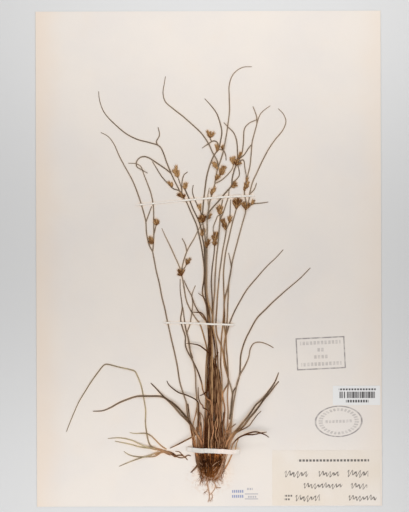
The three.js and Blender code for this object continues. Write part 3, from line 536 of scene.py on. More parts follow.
def ring_of(kind, sides):
    """A cross-section round a strand, one unit wide and from -0.5 to 0.5 high. A stem is an ellipse
    with low ribs, a leaf is one whose upper side is pressed in as a channel, and a sheath is a thin
    crescent with three ribs."""
    angle = angles(sides)
    across, up = 0.5 * np.cos(angle), 0.5 * np.sin(angle)
    if kind == "stem":
        rib = 1.0 + 0.05 * np.cos(4 * angle)
        return np.stack([across * rib, up * rib], axis=1)
    if kind == "leaf":
        channel = 0.42 * np.exp(-((across / 0.24) ** 2)) * (up > 0)
        return np.stack([across, up - channel], axis=1)
    arch = 0.28 * np.cos(across * 2 * math.pi)
    return np.stack([across, up * 0.35 + arch + 0.08 * np.cos(across * 19.0)], axis=1)


class Part:
    """One closed tube or lens of a piece's mesh: a grid of points, its tone, its finish, which is the
    number of its material, and the length along it."""

    def __init__(self, grid, tone, finish=0, along=None):
        self.grid, self.tone, self.finish = grid, tone, finish
        self.along = np.linspace(0.0, 1.0, len(grid)) if along is None else along


def carry(strand, ring, ends=1.0):
    """The points of a ring of (across, up), scaled, rolled about the path and carried along it."""
    across = ring[None, :, 0] * (strand.widths * ends)[:, None]
    up = ring[None, :, 1] * (strand.thicknesses * ends)[:, None]
    cosine, sine = np.cos(strand.rolls)[:, None], np.sin(strand.rolls)[:, None]
    side, rise = across * cosine - up * sine, across * sine + up * cosine
    heights = (strand.heights + strand.halves)[:, None] + rise
    return np.concatenate([beside(strand.path, side), heights[..., None]], axis=2)


def tube_of(strand, sides=10, finish=0):
    """A strand's surface: its own ring carried along it, with the ends drawn in to half size."""
    ends = np.minimum(1.0, 0.5 + np.minimum(strand.along, strand.along[-1] - strand.along) / strand.widths)
    return Part(carry(strand, ring_of(strand.ring, sides), ends), strand.tone, finish, strand.along)


def build(name, parts):
    """Joins closed tubes into one mesh. Each is a grid of rings: quads between neighbouring points,
    and a cap on each end. Its map runs along and around, and its tone is kept on its points."""
    mesh = bpy.data.meshes.new(name)
    corners, totals, finishes, maps, tones, points = [], [], [], [], [], []
    base = 0
    for part in parts:
        rings, sides = part.grid.shape[:2]
        index = base + np.arange(rings * sides).reshape(rings, sides)
        following = np.roll(index, -1, axis=1)
        quads = np.stack([index[:-1], following[:-1], following[1:], index[1:]], axis=-1)
        around = np.arange(sides) / sides
        u = np.broadcast_to(part.along[:, None], (rings, sides))
        v = np.broadcast_to(around, (rings - 1, sides))
        quad_u = np.stack([u[:-1], u[:-1], u[1:], u[1:]], axis=-1)
        quad_v = np.stack([v, v + 1 / sides, v + 1 / sides, v], axis=-1)
        cap_u, cap_v = u[[0, -1]], np.broadcast_to(around, (2, sides))
        corners += [quads.reshape(-1), index[0, ::-1], index[-1]]
        maps += [np.stack(pair, axis=-1).reshape(-1, 2) for pair in ((quad_u, quad_v), (cap_u, cap_v))]
        totals += [np.full((rings - 1) * sides, 4), np.full(2, sides)]
        finishes.append(np.full((rings - 1) * sides + 2, part.finish))
        tones.append(np.full(rings * sides, part.tone))
        points.append(part.grid.reshape(-1, 3))
        base += rings * sides
    corners, totals, points = np.concatenate(corners), np.concatenate(totals), np.concatenate(points)
    mesh.vertices.add(len(points))
    mesh.vertices.foreach_set("co", (points * MM).astype(np.float32).ravel())
    mesh.loops.add(len(corners))
    mesh.loops.foreach_set("vertex_index", corners.astype(np.int32))
    mesh.polygons.add(len(totals))
    mesh.polygons.foreach_set("loop_start", (np.cumsum(totals) - totals).astype(np.int32))
    mesh.polygons.foreach_set("material_index", np.concatenate(finishes).astype(np.int32))
    mesh.uv_layers.new(name="grain").data.foreach_set("uv", np.concatenate(maps).astype(np.float32).ravel())
    kept = mesh.attributes.new("tone", "FLOAT", "POINT")
    kept.data.foreach_set("value", np.concatenate(tones).astype(np.float32))
    mesh.update(calc_edges=True)
    mesh.validate()
    mesh.polygons.foreach_set("use_smooth", np.ones(len(mesh.polygons), bool))
    return set_down(mesh)


def grain_of(recipe):
    """How far along and around a strand a point is, and the strand's tone."""
    along, around, _ = recipe.split(recipe.node("ShaderNodeUVMap", {"uv_map": "grain"}, {}))
    return along, around, recipe.kept("tone")


def strand_recipe(name, dark, pale, low, streak=0.45, heart=0.0, tint=None, outer_pales=0.4, ruddy=0.0):
    """Dried plant: dark to pale by the strand's own tone, and by the low pair of colours towards the
    tuft's foot, blotched there along its length, with fine lengthwise streaks, some paler, that also
    stand up as fibres. In the tuft some strands have reddened, the foot has painted shade where they are
    packed, and those at its edges are tan. Outside it they stay paler by the share outer_pales."""
    recipe = Recipe(name)
    x, y, rise, noise, mix = recipe.x, recipe.y, recipe.rise, recipe.noise, recipe.mix
    along, around, tone = grain_of(recipe)
    own = noise(recipe.join(tone * 170.0, x * 0.6, 0.0), 1.0, 0.0)
    tone += rise(y, -179.0, -187.0) * heart - rise(abs(y + 173.0), 7.0, 2.0) * heart * 0.5
    fibres = noise(recipe.join(along * 0.35, around * 9.0, tone * 40.0), 1.0, 3.0, 0.6)
    blotches = noise(recipe.join(along * 0.09, around * 1.5, tone * 60.0), 1.0) - 0.5
    patches = noise(recipe.place, 7.0, 3.0)
    foot = rise(y + (patches - 0.5) * 60.0, 20.0, -70.0)
    aside = abs(x - TUFT_MIDDLE)
    outer = rise(aside, 9.0, 16.0) * rise(y, -152.0, -128.0)
    inner = rise(aside, 16.0, 12.0) * ruddy
    edge = rise(aside, 9.5, 13.5) * rise(aside, 20.0, 15.0) * rise(y, -136.0, -146.0)
    reddened = rise(own, 0.4, 0.55) * rise(y, -95.0, -130.0) * inner
    # Painted shade: the tuft's foot is darker just above the base strap and from y -100 up, among its packed
    # strands.
    packed_shade = (rise(y, -138.0, -157.0) * 0.3 + rise(y, -125.0, -100.0) * 0.16) * inner
    low_colour = mix(tone + blotches * 2.4 - packed_shade, low[0], mix(reddened, low[1], RUDDY))
    colour = mix(tone + blotches * 0.6, dark, pale)
    colour = mix(foot * (outer * -outer_pales + 0.97), colour, low_colour)
    colour = mix(edge * outer_pales * 0.56, colour, EDGE_TAN)
    colour = mix(rise(fibres, 0.52, 0.74) * streak * foot, colour, STRAW)
    colour = tint(recipe, colour) if tint else colour
    shade = mix(foot, [c * 0.6 for c in dark], [c * 0.5 for c in low[0]])
    colour = mix(rise(fibres, 0.46, 0.3) * 0.6, colour, shade)
    colour = mix(rise(patches, 0.56, 0.72) * 0.35, colour, shade)
    return recipe.finish(colour, fibres * 0.2 + 0.5, fibres, depth=0.12, gloss=0.03)


def crown_surface():
    """The matted crown: a low dome, a little inside the crown's outline, whose radius and height ripple
    by sines of the angle and of x and y."""
    half_width, half_length = CROWN_HALF * 0.97
    angle = angles(72)[None, :]
    climb = np.linspace(0.0, 1.0, 18)[:, None]
    radius = np.cos(climb * math.pi / 2) ** 0.6 * (1.0 + 0.03 * np.sin(9 * angle) + 0.02 * np.sin(23 * angle))
    radius = np.maximum(radius, 0.02)
    x = CROWN_MIDDLE[0] + half_width * radius * np.cos(angle)
    y = CROWN_MIDDLE[1] + half_length * radius * np.sin(angle)
    ripple = 0.12 * np.sin(x * 2.3) * np.sin(y * 0.5) + 0.1 * np.sin(x * 5.1 + y)
    z = SHEET_HIGH[2] + GAP + climb * (CROWN_HEIGHT - 0.25) + ripple * np.sin(climb * math.pi)
    return Part(np.stack([x, y, z], axis=-1), 0.1)


# Each sheath base is its width, its tone and its route, and each root is its width and its route.
SHEATH_BASES = [
    (2.4, 0.75, [[-5, -181], [-9.4, -172], [-12, -160], [-14.2, -150], [-16.3, -140]]),
    (2.8, 0.4, [[-5, -182], [-8.6, -170], [-13.2, -158], [-13.9, -151]]),
    (2.6, 0.8, [[-4, -183], [-7.4, -172], [-9.3, -158], [-10.6, -142]]),
    (2.6, 0.35, [[-3, -184], [-5, -173], [-6.6, -157], [-7.1, -138]]),
    (3.2, 0.85, [[-1.5, -185], [-2.4, -174], [-3, -157], [-2.9, -138]]),
    (3, 0.3, [[0.3, -186], [0.4, -174], [0.6, -157], [0.3, -136]]),
    (3, 0.7, [[2, -186], [3, -174], [3.7, -157], [3.6, -137]]),
    (2.8, 0.25, [[3.6, -185], [5.5, -174], [6.7, -157], [6.6, -136]]),
    (2.6, 0.8, [[5, -184], [7.6, -173], [9.4, -157], [9.3, -138]]),
    (2.9, 0.45, [[6.4, -183], [9.7, -172], [11.9, -157], [12.2, -139]]),
    (2.6, 0.9, [[7.4, -181], [11.4, -170], [14.4, -156], [17.4, -141]]),
    (2, 0.5, [[8, -180], [12.6, -169], [16.8, -156], [19.6, -147]]),
]
ROOTS = [
    (1.2, [[0, -183], [-1.9, -190], [-0.9, -195.5], [-0.2, -201], [-1, -206]]),
    (1, [[3, -183], [4.3, -189], [4.9, -193], [2.6, -197.3], [0, -200]]),
    (0.8, [[4.4, -191], [6, -193.5], [10, -193.6]]),
    (1.1, [[-3.5, -181], [-6.6, -186.5], [-8.4, -191]]),
    (0.8, [[-1, -187], [-2.4, -189.5], [-3.8, -191.4]]),
    (0.9, [[7.4, -180], [8.2, -186], [11, -189]]),
    (1.9, [[-8, -171], [-11.4, -176.3], [-16, -181]]),
    (0.7, [[1.6, -198.2], [2.4, -201.5], [0.3, -205.6]]),
    (0.7, [[-1.2, -194.6], [-2.8, -197], [-5, -198]]),
]

ridges = [
    Strand(route, width, SHEATH_BASE_THICKNESS, tip=0.4, tone=tone, sway=0.0, ring="sheath")
    for width, tone, route in SHEATH_BASES
]
roots = [
    Strand(route, width * 0.8, ROOT_THICKNESS, tip=0.4, tone=0.9 - 0.45 * width, ring="stem")
    for width, route in ROOTS
]
for strand in ridges + roots:
    strand.press()
crown_cells = np.indices(ground.shape).transpose(1, 2, 0) * CELL + SHEET_LOW[:2] + CELL / 2
crown_reach = np.linalg.norm((crown_cells - CROWN_MIDDLE) / CROWN_HALF, axis=-1)
crown_dome = CROWN_HEIGHT * np.sqrt(np.clip(1.0 - crown_reach**3, 0.0, 1.0))
mat = np.maximum(ground, SHEET_HIGH[2] + GAP + crown_dome)
full_height = SHEET_HIGH[2] + GAP + PRESSED_GAIN + CROWN_HEIGHT
ground[crown_reach <= 1.0] = np.maximum(ground[crown_reach <= 1.0], full_height)

root_parts = [crown_surface()]
root_parts += [tube_of(strand, 14) for strand in ridges]
root_parts += [tube_of(strand, 8, finish=int(strand.widths[0] < FINE_ROOT_LIMIT)) for strand in roots]


def matted(path, width, tone, finish=0, lift=0.1, flat=1.0, sides=4):
    """A root or leaf base sunk in the mat: a tube that narrows evenly to MAT_TIP of its width and follows
    the height of the mat under it, evened out along its path, with a slow rise and fall of its own."""
    columns, rows = ground_cells(path)
    under = np.convolve(np.pad(mat[columns, rows], 2, mode="edge"), np.ones(5) / 5, mode="valid")
    share = np.linspace(0.0, 1.0, len(path))
    widths = width * (1.0 - (1.0 - MAT_TIP) * share)
    rise = lift * (1.0 + np.sin(share * 5.0 + chance.uniform(0, 2 * math.pi)))
    ring = angles(sides)[None, :]
    edges = beside(path, np.cos(ring) * widths[:, None] / 2)
    heights = (under + rise + widths * flat / 2)[:, None] + np.sin(ring) * widths[:, None] * flat / 2
    return Part(np.concatenate([edges, heights[..., None]], axis=2), tone, finish, distance_along(path))


def hair(start, heading, length, width, curl, tone, finish=1, lift=0.05):
    """A fine root that wanders: its heading drifts by two slow sines."""
    share = np.linspace(0.0, 1.0, HAIR_POINTS)
    phases = chance.uniform(0, 2 * math.pi, 2)
    bend = curl * (np.sin(share * 4.0 + phases[0]) + 0.6 * np.sin(share * 9.0 + phases[1]))
    angle = heading + bend - bend[0]
    steps = np.stack([np.cos(angle), np.sin(angle)], axis=1) * length / (HAIR_POINTS - 1)
    return matted(np.array(start) + np.cumsum(steps, axis=0), width, tone, finish, lift)


def drooping(left, right, top, foot, lean=0.0, sway=0.3):
    """The path of a leaf base or coarse root down the crown: straight at first, then closing in on the
    crown's middle by a power of the way down, and leaning sideways by the same power."""
    start = chance.uniform(left, right)
    y = np.linspace(chance.uniform(top, MAT_TOP), chance.uniform(MAT_FOOT, foot), MAT_POINTS)
    closing = ((-162.0 - y).clip(0.0) / 26.0) ** 1.6
    x = CROWN_MIDDLE[0] + (start - CROWN_MIDDLE[0]) * (1.0 - 0.55 * closing) + lean * closing
    return np.stack([x + sway * np.sin(y / 2.9 + start * 7.0), y], axis=1)


# Leaf bases, coarse roots, paler ones at the right edge, hairs on the crown, hairs round its foot,
# strands that loop over its lower right, and last the hairs on the roots that hang from it.
DARK_TONES = (0.0, 0.0, 0.1, 0.2, 0.35, 0.55, 0.85)
for _ in range(75):
    path = drooping(-12.2, 13.6, -163.0, -175.0)
    root_parts.append(matted(path, chance.uniform(0.7, 1.6), chance.choice(DARK_TONES), flat=0.5, sides=6))
for _ in range(110):
    path = drooping(-12.6, 14.2, -172.0, -180.0, lean=chance.normal(0.0, 2.0), sway=0.5)
    root_parts.append(matted(path, chance.uniform(0.3, 0.7), chance.choice(DARK_TONES), lift=0.2))
for _ in range(16):
    path = drooping(11.0, 15.6, -164.0, -182.0, lean=chance.uniform(-4.0, 0.0))
    width, tone = chance.uniform(0.5, 1.1), chance.uniform(0.0, 0.8)
    root_parts.append(matted(path, width, tone, 1, 0.3, flat=0.5, sides=6))
for _ in range(240):
    spot = CROWN_MIDDLE + CROWN_HALF * chance.uniform((-0.95, -0.95), (0.95, 0.5))
    heading = -math.pi / 2 - 0.03 * (spot[0] - CROWN_MIDDLE[0]) + chance.normal(0, 0.35)
    length, width, tone = chance.uniform(4, 10), chance.uniform(0.15, 0.4), chance.choice(DARK_TONES)
    root_parts.append(hair(spot, heading, length, width, 0.35, tone, int(chance.uniform() < 0.22), 0.2))
for _ in range(280):
    angle = chance.uniform(-2.85, -0.25)
    spot = CROWN_MIDDLE + CROWN_HALF * 0.9 * np.array([math.cos(angle), math.sin(angle)])
    heading = -math.pi / 2 + 0.75 * math.cos(angle) + chance.normal(0, 0.35)
    length = chance.uniform(2.0, 4.0) + 4.0 * chance.uniform(0, 1) ** 2 * abs(math.sin(angle)) ** 3
    root_parts.append(hair(spot, heading, length, chance.uniform(0.14, 0.34), 0.7, chance.uniform(0.2, 1.0)))
for step in range(8):
    sweep = np.linspace(-0.5, chance.uniform(2.2, 2.9), 16)
    reach = 3.0 + 0.35 * step + chance.uniform(-0.4, 0.4)
    x = 7.0 + reach * np.sin(sweep - 0.6) + 0.12 * step
    loop = np.stack([x, -182.0 + 1.3 * step + 3.6 * sweep - 0.9 * sweep**2 * (step % 2)], axis=1)
    root_parts.append(matted(loop, chance.uniform(0.4, 0.65), chance.uniform(0.3, 0.9), step % 3 == 1, 0.4))
for strand in roots:
    for _ in range(8):
        place = strand.path[chance.integers(len(strand.path) // 3, len(strand.path))]
        heading = -math.pi / 2 + chance.normal(0, 0.8)
        root_parts.append(hair(place, heading, chance.uniform(1.5, 4.5), 0.15, 1.0, chance.uniform(0.2, 0.9)))

root_colours = (DARK_ROOT, ROOT_BROWN)
fine_root_colours = (FINE_ROOT_DARK, FINE_ROOT_PALE)
root_material = strand_recipe("dried_root", *root_colours, root_colours, streak=0.3, heart=0.5)
fine_root_material = strand_recipe("fine_root", *fine_root_colours, fine_root_colours, streak=0.2)
rootstock = build("rootstock_and_roots", root_parts)
dress(rootstock, "rootstock", "rootstock", root_material, fine_root_material)

# The side shoot: a young plant on a short runner, whose pale leaves fan out to the left. It dried with
# the tuft that it grew from, and it lies flat on the sheet. Its leaves grey towards their ends.
LEAF_WIDTH = 1.3
SIDE_LEAF_WIDTH = LEAF_WIDTH * 0.88
LEAF_THICKNESS = 0.5 + PRESSED_GAIN
LEAF_ROLL = 30.0
SHOOT_DARK = (118, 103, 82)
SHOOT_PALE = (190, 174, 140)
RUNNER_TAN = (180, 138, 100)
SHEATH_DARK = (70, 32, 10)
SHEATH_PALE = (202, 148, 104)
chance = np.random.default_rng(13)


def tan_runner(recipe, colour):
    """The runner's outer end, where the leaves leave it, is tan."""
    outer = recipe.rise(recipe.x, -30.0, -41.0) * recipe.rise(recipe.x, -15.0, -20.0)
    return recipe.mix(outer * 0.85, colour, RUNNER_TAN)


def shoot_tints(recipe, colour):
    """The leaves are tan near the runner, and their far ends have greyed."""
    colour = recipe.mix(recipe.rise(recipe.x, -56.0, -41.0) * 0.8, colour, RUNNER_TAN)
    return recipe.mix(recipe.rise(recipe.x, -66.0, -92.0) * 0.75, colour, SHOOT_DARK)


def lay_leaf(name, node, slot, material, width, tone, route):
    """Lays one leaf over what is there and puts its mesh in place of its CAD node."""
    strand = Strand(route, width, LEAF_THICKNESS, roll=LEAF_ROLL, tone=tone)
    strand.press()
    dress(build(name, [tube_of(strand)]), node, slot, material)


sheath_colours = (SHEATH_DARK, SHEATH_PALE, (SHEATH_DARK, STRAW))
shoot_colours = (SHOOT_DARK, SHOOT_PALE, (SHOOT_DARK, SHOOT_PALE))
sheath_material = strand_recipe("old_sheath", *sheath_colours, 0.6, tint=tan_runner, ruddy=0.7)
shoot_material = strand_recipe("side_leaf", *shoot_colours, 0.3, tint=shoot_tints)

# Each strand of the runner is its width, its thickness in CAD, its tip's share of them and its route,
# and each leaf is its tone and its route.
SHOOT_BASE = [
    (2.4, 1.2, 0.5, [[-28, -167.4], [-32.6, -164.4], [-38, -162.9], [-43, -161.2], [-48, -160.2]]),
    (1.5, 0.7, 0.6, [[-33, -165], [-38.5, -163.4], [-42, -164], [-46, -165.5]]),
    (1.1, 0.7, 0.5, [[-29, -166.6], [-25, -166.2], [-21.5, -167.2], [-18.4, -170.4]]),
    (0.9, 0.6, 0.6, [[-28.4, -167.3], [-24.5, -168.3], [-20, -168.2]]),
    (0.9, 0.6, 0.6, [[-20.6, -167.7], [-18, -166.2], [-15.5, -167]]),
    (0.8, 0.6, 0.5, [[-20.8, -167.5], [-23.4, -165.3], [-25.6, -163.3], [-29, -162.8]]),
    (1, 0.6, 0.4, [[-38.6, -163.6], [-36, -164.9], [-33, -166.4]]),
]
SIDE_LEAVES = [
    (0.6, [[-44.6, -160.4], [-49.6, -158], [-51.6, -153.6], [-53, -147], [-54, -139], [-53.9, -129],
        [-55, -120], [-57.4, -107.8], [-60.8, -98.4], [-62.8, -95], [-66, -93.9], [-75, -91.8], [-84, -89.5],
        [-87.2, -89.1], [-89.2, -90], [-94, -95.6], [-99, -102.6], [-104.6, -111.4], [-109.8, -120.2],
        [-114.5, -130], [-118, -138.5], [-121, -146]]),
    (0.9, [[-44.8, -161.2], [-50, -160.1], [-58, -159.1], [-66, -157], [-74, -155.3], [-80, -154.1]]),
    (0.95, [[-45.6, -159.9], [-52, -158.9], [-58, -156.9], [-64, -154.1], [-70, -152.2], [-76, -151.4],
        [-86, -152]]),
    (0.3, [[-41.4, -164.2], [-46, -166.9], [-53, -167.5], [-60, -167.3], [-66, -166.4], [-70, -164.7],
        [-72.5, -162.8]]),
    (0.35, [[-42.6, -163.2], [-50, -165.9], [-58, -168.4], [-66, -171.1], [-76.5, -175.7]]),
    (0.55, [[-36.2, -161.2], [-40, -158.7], [-46, -152.7], [-49.4, -149.6], [-54, -147.7], [-63.5, -147.6],
        [-67.5, -147]]),
]

base_strands = []
for width, thickness, tip, route in SHOOT_BASE:
    pressed = thickness + PRESSED_GAIN
    base_strands.append(Strand(route, width, pressed, tip, tone=0.4, ring="stem", parents=base_strands))
meet_at_joints(base_strands)
for strand in base_strands:
    strand.press()
shoot = build("side_shoot_runner", [tube_of(strand) for strand in base_strands])
dress(shoot, "side_shoot_base", "old_sheath", sheath_material)
for number, leaf in enumerate(SIDE_LEAVES, 1):
    name, node = f"side_blade_{number}", f"side_leaf_{number}"
    lay_leaf(name, node, "side_leaf", shoot_material, SIDE_LEAF_WIDTH, *leaf)

# The old sheaths: papery bases of last year's leaves, torn and brown, that pack the middle of the tuft
# under its stems. Each is its width, its tip's share of it and its route, and is torn into five strips.
# A strip is its shift aside and its width, as shares of the sheath's, and its tone.
OLD_SHEATHS = [
    (2.4, 0.5, [[2.2, -152], [2.3, -138], [2.2, -124], [2.6, -112], [3, -101], [2.8, -92], [1.9, -80]]),
    (3, 0.5, [[6.4, -153], [6.2, -142], [6.2, -130], [6.4, -118], [6.7, -108], [6.4, -99], [5.2, -91],
        [3.6, -83]]),
    (2, 0.5, [[-1.6, -152], [-0.8, -137], [0, -124], [0.3, -112], [0.4, -98]]),
    (2.4, 0.5, [[8.8, -152], [8.3, -137], [8.6, -122], [8.7, -110], [8.6, -102], [7.2, -92.5]]),
    (1.9, 0.9, [[-12.4, -147], [-14.6, -141], [-16.6, -135], [-18, -128], [-18.8, -120.4]]),
]
TORN_STRIPS = ((0.0, 1.0, 0.15), (-0.45, 0.5, 0.6), (0.4, 0.55, 0.0), (0.1, 0.4, 0.9), (-0.2, 0.35, 0.35))
STRIP_THICKNESS = LEAF_THICKNESS * 0.6


def torn_strip(width, tone, route, tip=0.5):
    """A thin strip of sheath, laid over what is there."""
    strip = Strand(route, width, STRIP_THICKNESS, tip, sway=0.35, tone=tone, ring="sheath")
    strip.press()
    return tube_of(strip, 8)


sheath_strips = []
for width, tip, route in OLD_SHEATHS:
    strips = []
    for shift, share, tone in TORN_STRIPS:
        wander = np.array([shift * width, chance.uniform(-4.0, 0.0)])
        strips.append(torn_strip(width * share, tone, np.array(route) + wander, tip))
    sheath_strips.append(strips)

# The flowering stems: wiry dried stems, each with the long thin bracts that overtop its flowers, a few
# thin branches, and small clusters of flowers. Each grew as one piece from the rootstock, and where
# the sixth one forks, its two bracts and its branch are pieces of their own.
CULM_WIDTH = 1.12
CULM_THICKNESS = 0.7 + PRESSED_GAIN
BRACT_WIDTH = 1.05
BRACT_THICKNESS = 0.5 + PRESSED_GAIN
STALK_WIDTH = BRACT_WIDTH * 0.8
FLOWER_STALK_WIDTH = 0.55
FLORET_WIDTH = 1.7
FLORET_THICKNESS = 1.1
FLOWER_SPACING = 3.0
FLOWER_FLATNESS = 0.5
CAPSULE = {"length": 3.3, "width": 1.5, "thickness": 1.5, "rings": 7, "sides": 8, "peak": 0.5}
TEPAL = {"length": 4.0, "width": 0.9, "thickness": 0.3, "rings": 5, "sides": 4, "peak": 0.4}
TEPAL_SEAT = 0.42
STEM_DARK = (101, 85, 69)
STEM_PALE = (157, 138, 117)
STEM_FOOT_DARK = (66, 30, 8)
STEM_FOOT_PALE = (188, 147, 104)
HUSK_SHADE = (80, 46, 22)
HUSK_DARK = (108, 67, 33)
HUSK_PALE = (198, 156, 108)
RIPE = 0.1
UNRIPE = 0.85


def culm(route):
    """What a stem's Strand is given."""
    return {"route": route, "width": CULM_WIDTH, "thickness": CULM_THICKNESS, "tip": 0.85, "ring": "stem"}


def bract(route):
    """What a bract's Strand is given: it is a thin leaf, rolled a little."""
    return {"route": route, "width": BRACT_WIDTH, "thickness": BRACT_THICKNESS, "roll": 25.0}


def stalk(route):
    """What a branch's Strand is given: it is a thinner stem."""
    return {"route": route, "width": STALK_WIDTH, "thickness": BRACT_THICKNESS, "tip": 0.7, "ring": "stem"}


def lens(length, width, thickness, rings, sides, peak):
    """A closed pointed body along x: its ring swells from one end to its peak and closes at the other."""
    share = np.linspace(0.0, 1.0, rings)[:, None]
    swell = np.sin(math.pi * share ** (math.log(0.5) / math.log(peak))) ** 0.8 + 0.03
    angle = angles(sides)[None, :]
    x = np.broadcast_to(share * length, (rings, sides))
    return np.stack([x, swell * width / 2 * np.cos(angle), swell * thickness / 2 * np.sin(angle)], axis=-1)


def turn(grid, axis, angle):
    """The grid turned about the x, y or z axis."""
    cosine, sine = math.cos(angle), math.sin(angle)
    first, second = [(1, 2), (2, 0), (0, 1)][axis]
    turned_grid = grid.copy()
    turned_grid[..., first] = grid[..., first] * cosine - grid[..., second] * sine
    turned_grid[..., second] = grid[..., first] * sine + grid[..., second] * cosine
    return turned_grid


def flower(seat, heading, height, size, tone):
    """A dried flower: a swollen capsule in six pointed tepals that stand a little open round it, all
    pressed flat. It is 4 mm long at size 1, from its seat along its heading."""
    pieces = [(lens(**CAPSULE), tone)]
    for index in range(6):
        tepal = lens(**TEPAL)
        tepal[..., 2] += TEPAL_SEAT
        tepal = turn(tepal, 1, -chance.uniform(0.06, 0.32))
        tepal = turn(tepal, 0, index * math.pi / 3 + chance.uniform(-0.2, 0.2))
        pieces.append((tepal, tone + chance.choice([-0.3, 0.0, 0.2, 0.7])))
    limit = FLORET_THICKNESS / 2 + 0.1
    parts = []
    for grid, tone in pieces:
        placed = turn(grid * size, 2, heading)
        placed[..., 2] = np.clip(placed[..., 2] * FLOWER_FLATNESS, 0.05 - limit, limit)
        parts.append(Part(placed + np.array([seat[0], seat[1], height + limit]), tone, 1))
    return parts


def flowers_along(stem):
    """The flowers of one stalk, one for every 3 mm: the last ends at the stalk's tip, and those below
    it lean out to either side in turn."""
    run = stem.path[-1] - stem.path[0]
    length = np.linalg.norm(run)
    heading = math.atan2(run[1], run[0])
    size = min(1.2, length * 0.21)
    tip = TEPAL["length"] * size
    count = max(1, round(length / FLOWER_SPACING))
    side = chance.choice([-1.0, 1.0])
    parts = []
    for index in range(count):
        back = (count - 1 - index) / max(1, count - 1)
        seat = stem.path[-1] - run / length * (tip + back * (length - tip))
        aside = side * (-1) ** index * chance.uniform(0.12, 0.3) * min(1.0, 2.0 * back)
        parts += flower(seat, heading + aside, stem.heights[0], size * (1.0 - 0.1 * back), stem.tone)
    return parts


def husk_recipe():
    """Dried tepals and capsules: brown at the seat, straw at the points, with fine ribs along them."""
    recipe = Recipe("dried_husk")
    along, around, tone = grain_of(recipe)
    ribs = recipe.noise(recipe.join(along * 2.0, around * 8.0, tone * 40.0), 1.0)
    patches = recipe.noise(recipe.place, 4.0, 3.0)
    colour = recipe.mix(tone * 0.8 + recipe.rise(along, 0.4, 1.0) * 0.25, HUSK_DARK, HUSK_PALE)
    colour = recipe.mix(recipe.rise(ribs, 0.48, 0.3) * 0.4, colour, HUSK_SHADE)
    colour = recipe.mix(recipe.rise(patches, 0.54, 0.7) * 0.3, colour, HUSK_SHADE)
    colour = recipe.mix(recipe.rise(along, 0.5, 0.05) * 0.55, colour, HUSK_SHADE)
    return recipe.finish(colour, ribs * 0.2 + 0.5, ribs, depth=0.05, gloss=0.03)


def lay_plant(name, node, tone, strands, clusters=()):
    """Lays one stem with its bracts, branches and flowers, as one mesh in place of its CAD node. The
    stalk under a flower ends inside it."""
    stems = []
    for item in strands:
        stems.append(Strand(**item, tone=tone + chance.uniform(-0.15, 0.15), parents=stems))
    flower_stems = []
    for place, tips, *ripeness in clusters:
        ripe = ripeness[0] if ripeness else chance.uniform(0.3, 0.6)
        level = {"tip": 1.0, "steepest": 0.0, "sway": 0.0, "tone": ripe, "parents": stems}
        flower_stems += [Strand([place, tip], FLORET_WIDTH, FLORET_THICKNESS, **level) for tip in tips]
    meet_at_joints(stems + flower_stems)
    for strand in stems + flower_stems:
        strand.press()
    parts = [tube_of(strand) for strand in stems]
    for stem in flower_stems:
        parts += flowers_along(stem)
        stem.widths = stem.thicknesses = np.full(len(stem.path), FLOWER_STALK_WIDTH)
        stem.ring = "stem"
        tube = tube_of(stem, 6)
        keep = max(3, len(stem.path) // 2)
        parts.append(Part(tube.grid[:keep], 0.4, 0, tube.along[:keep]))
    dress(build(name, parts), node, "stem", stem_material, husk_material)


foot_colours = (STEM_FOOT_DARK, STEM_FOOT_PALE)
stem_material = strand_recipe("dried_stem", STEM_DARK, STEM_PALE, foot_colours, outer_pales=0.9, ruddy=0.9)
husk_material = husk_recipe()

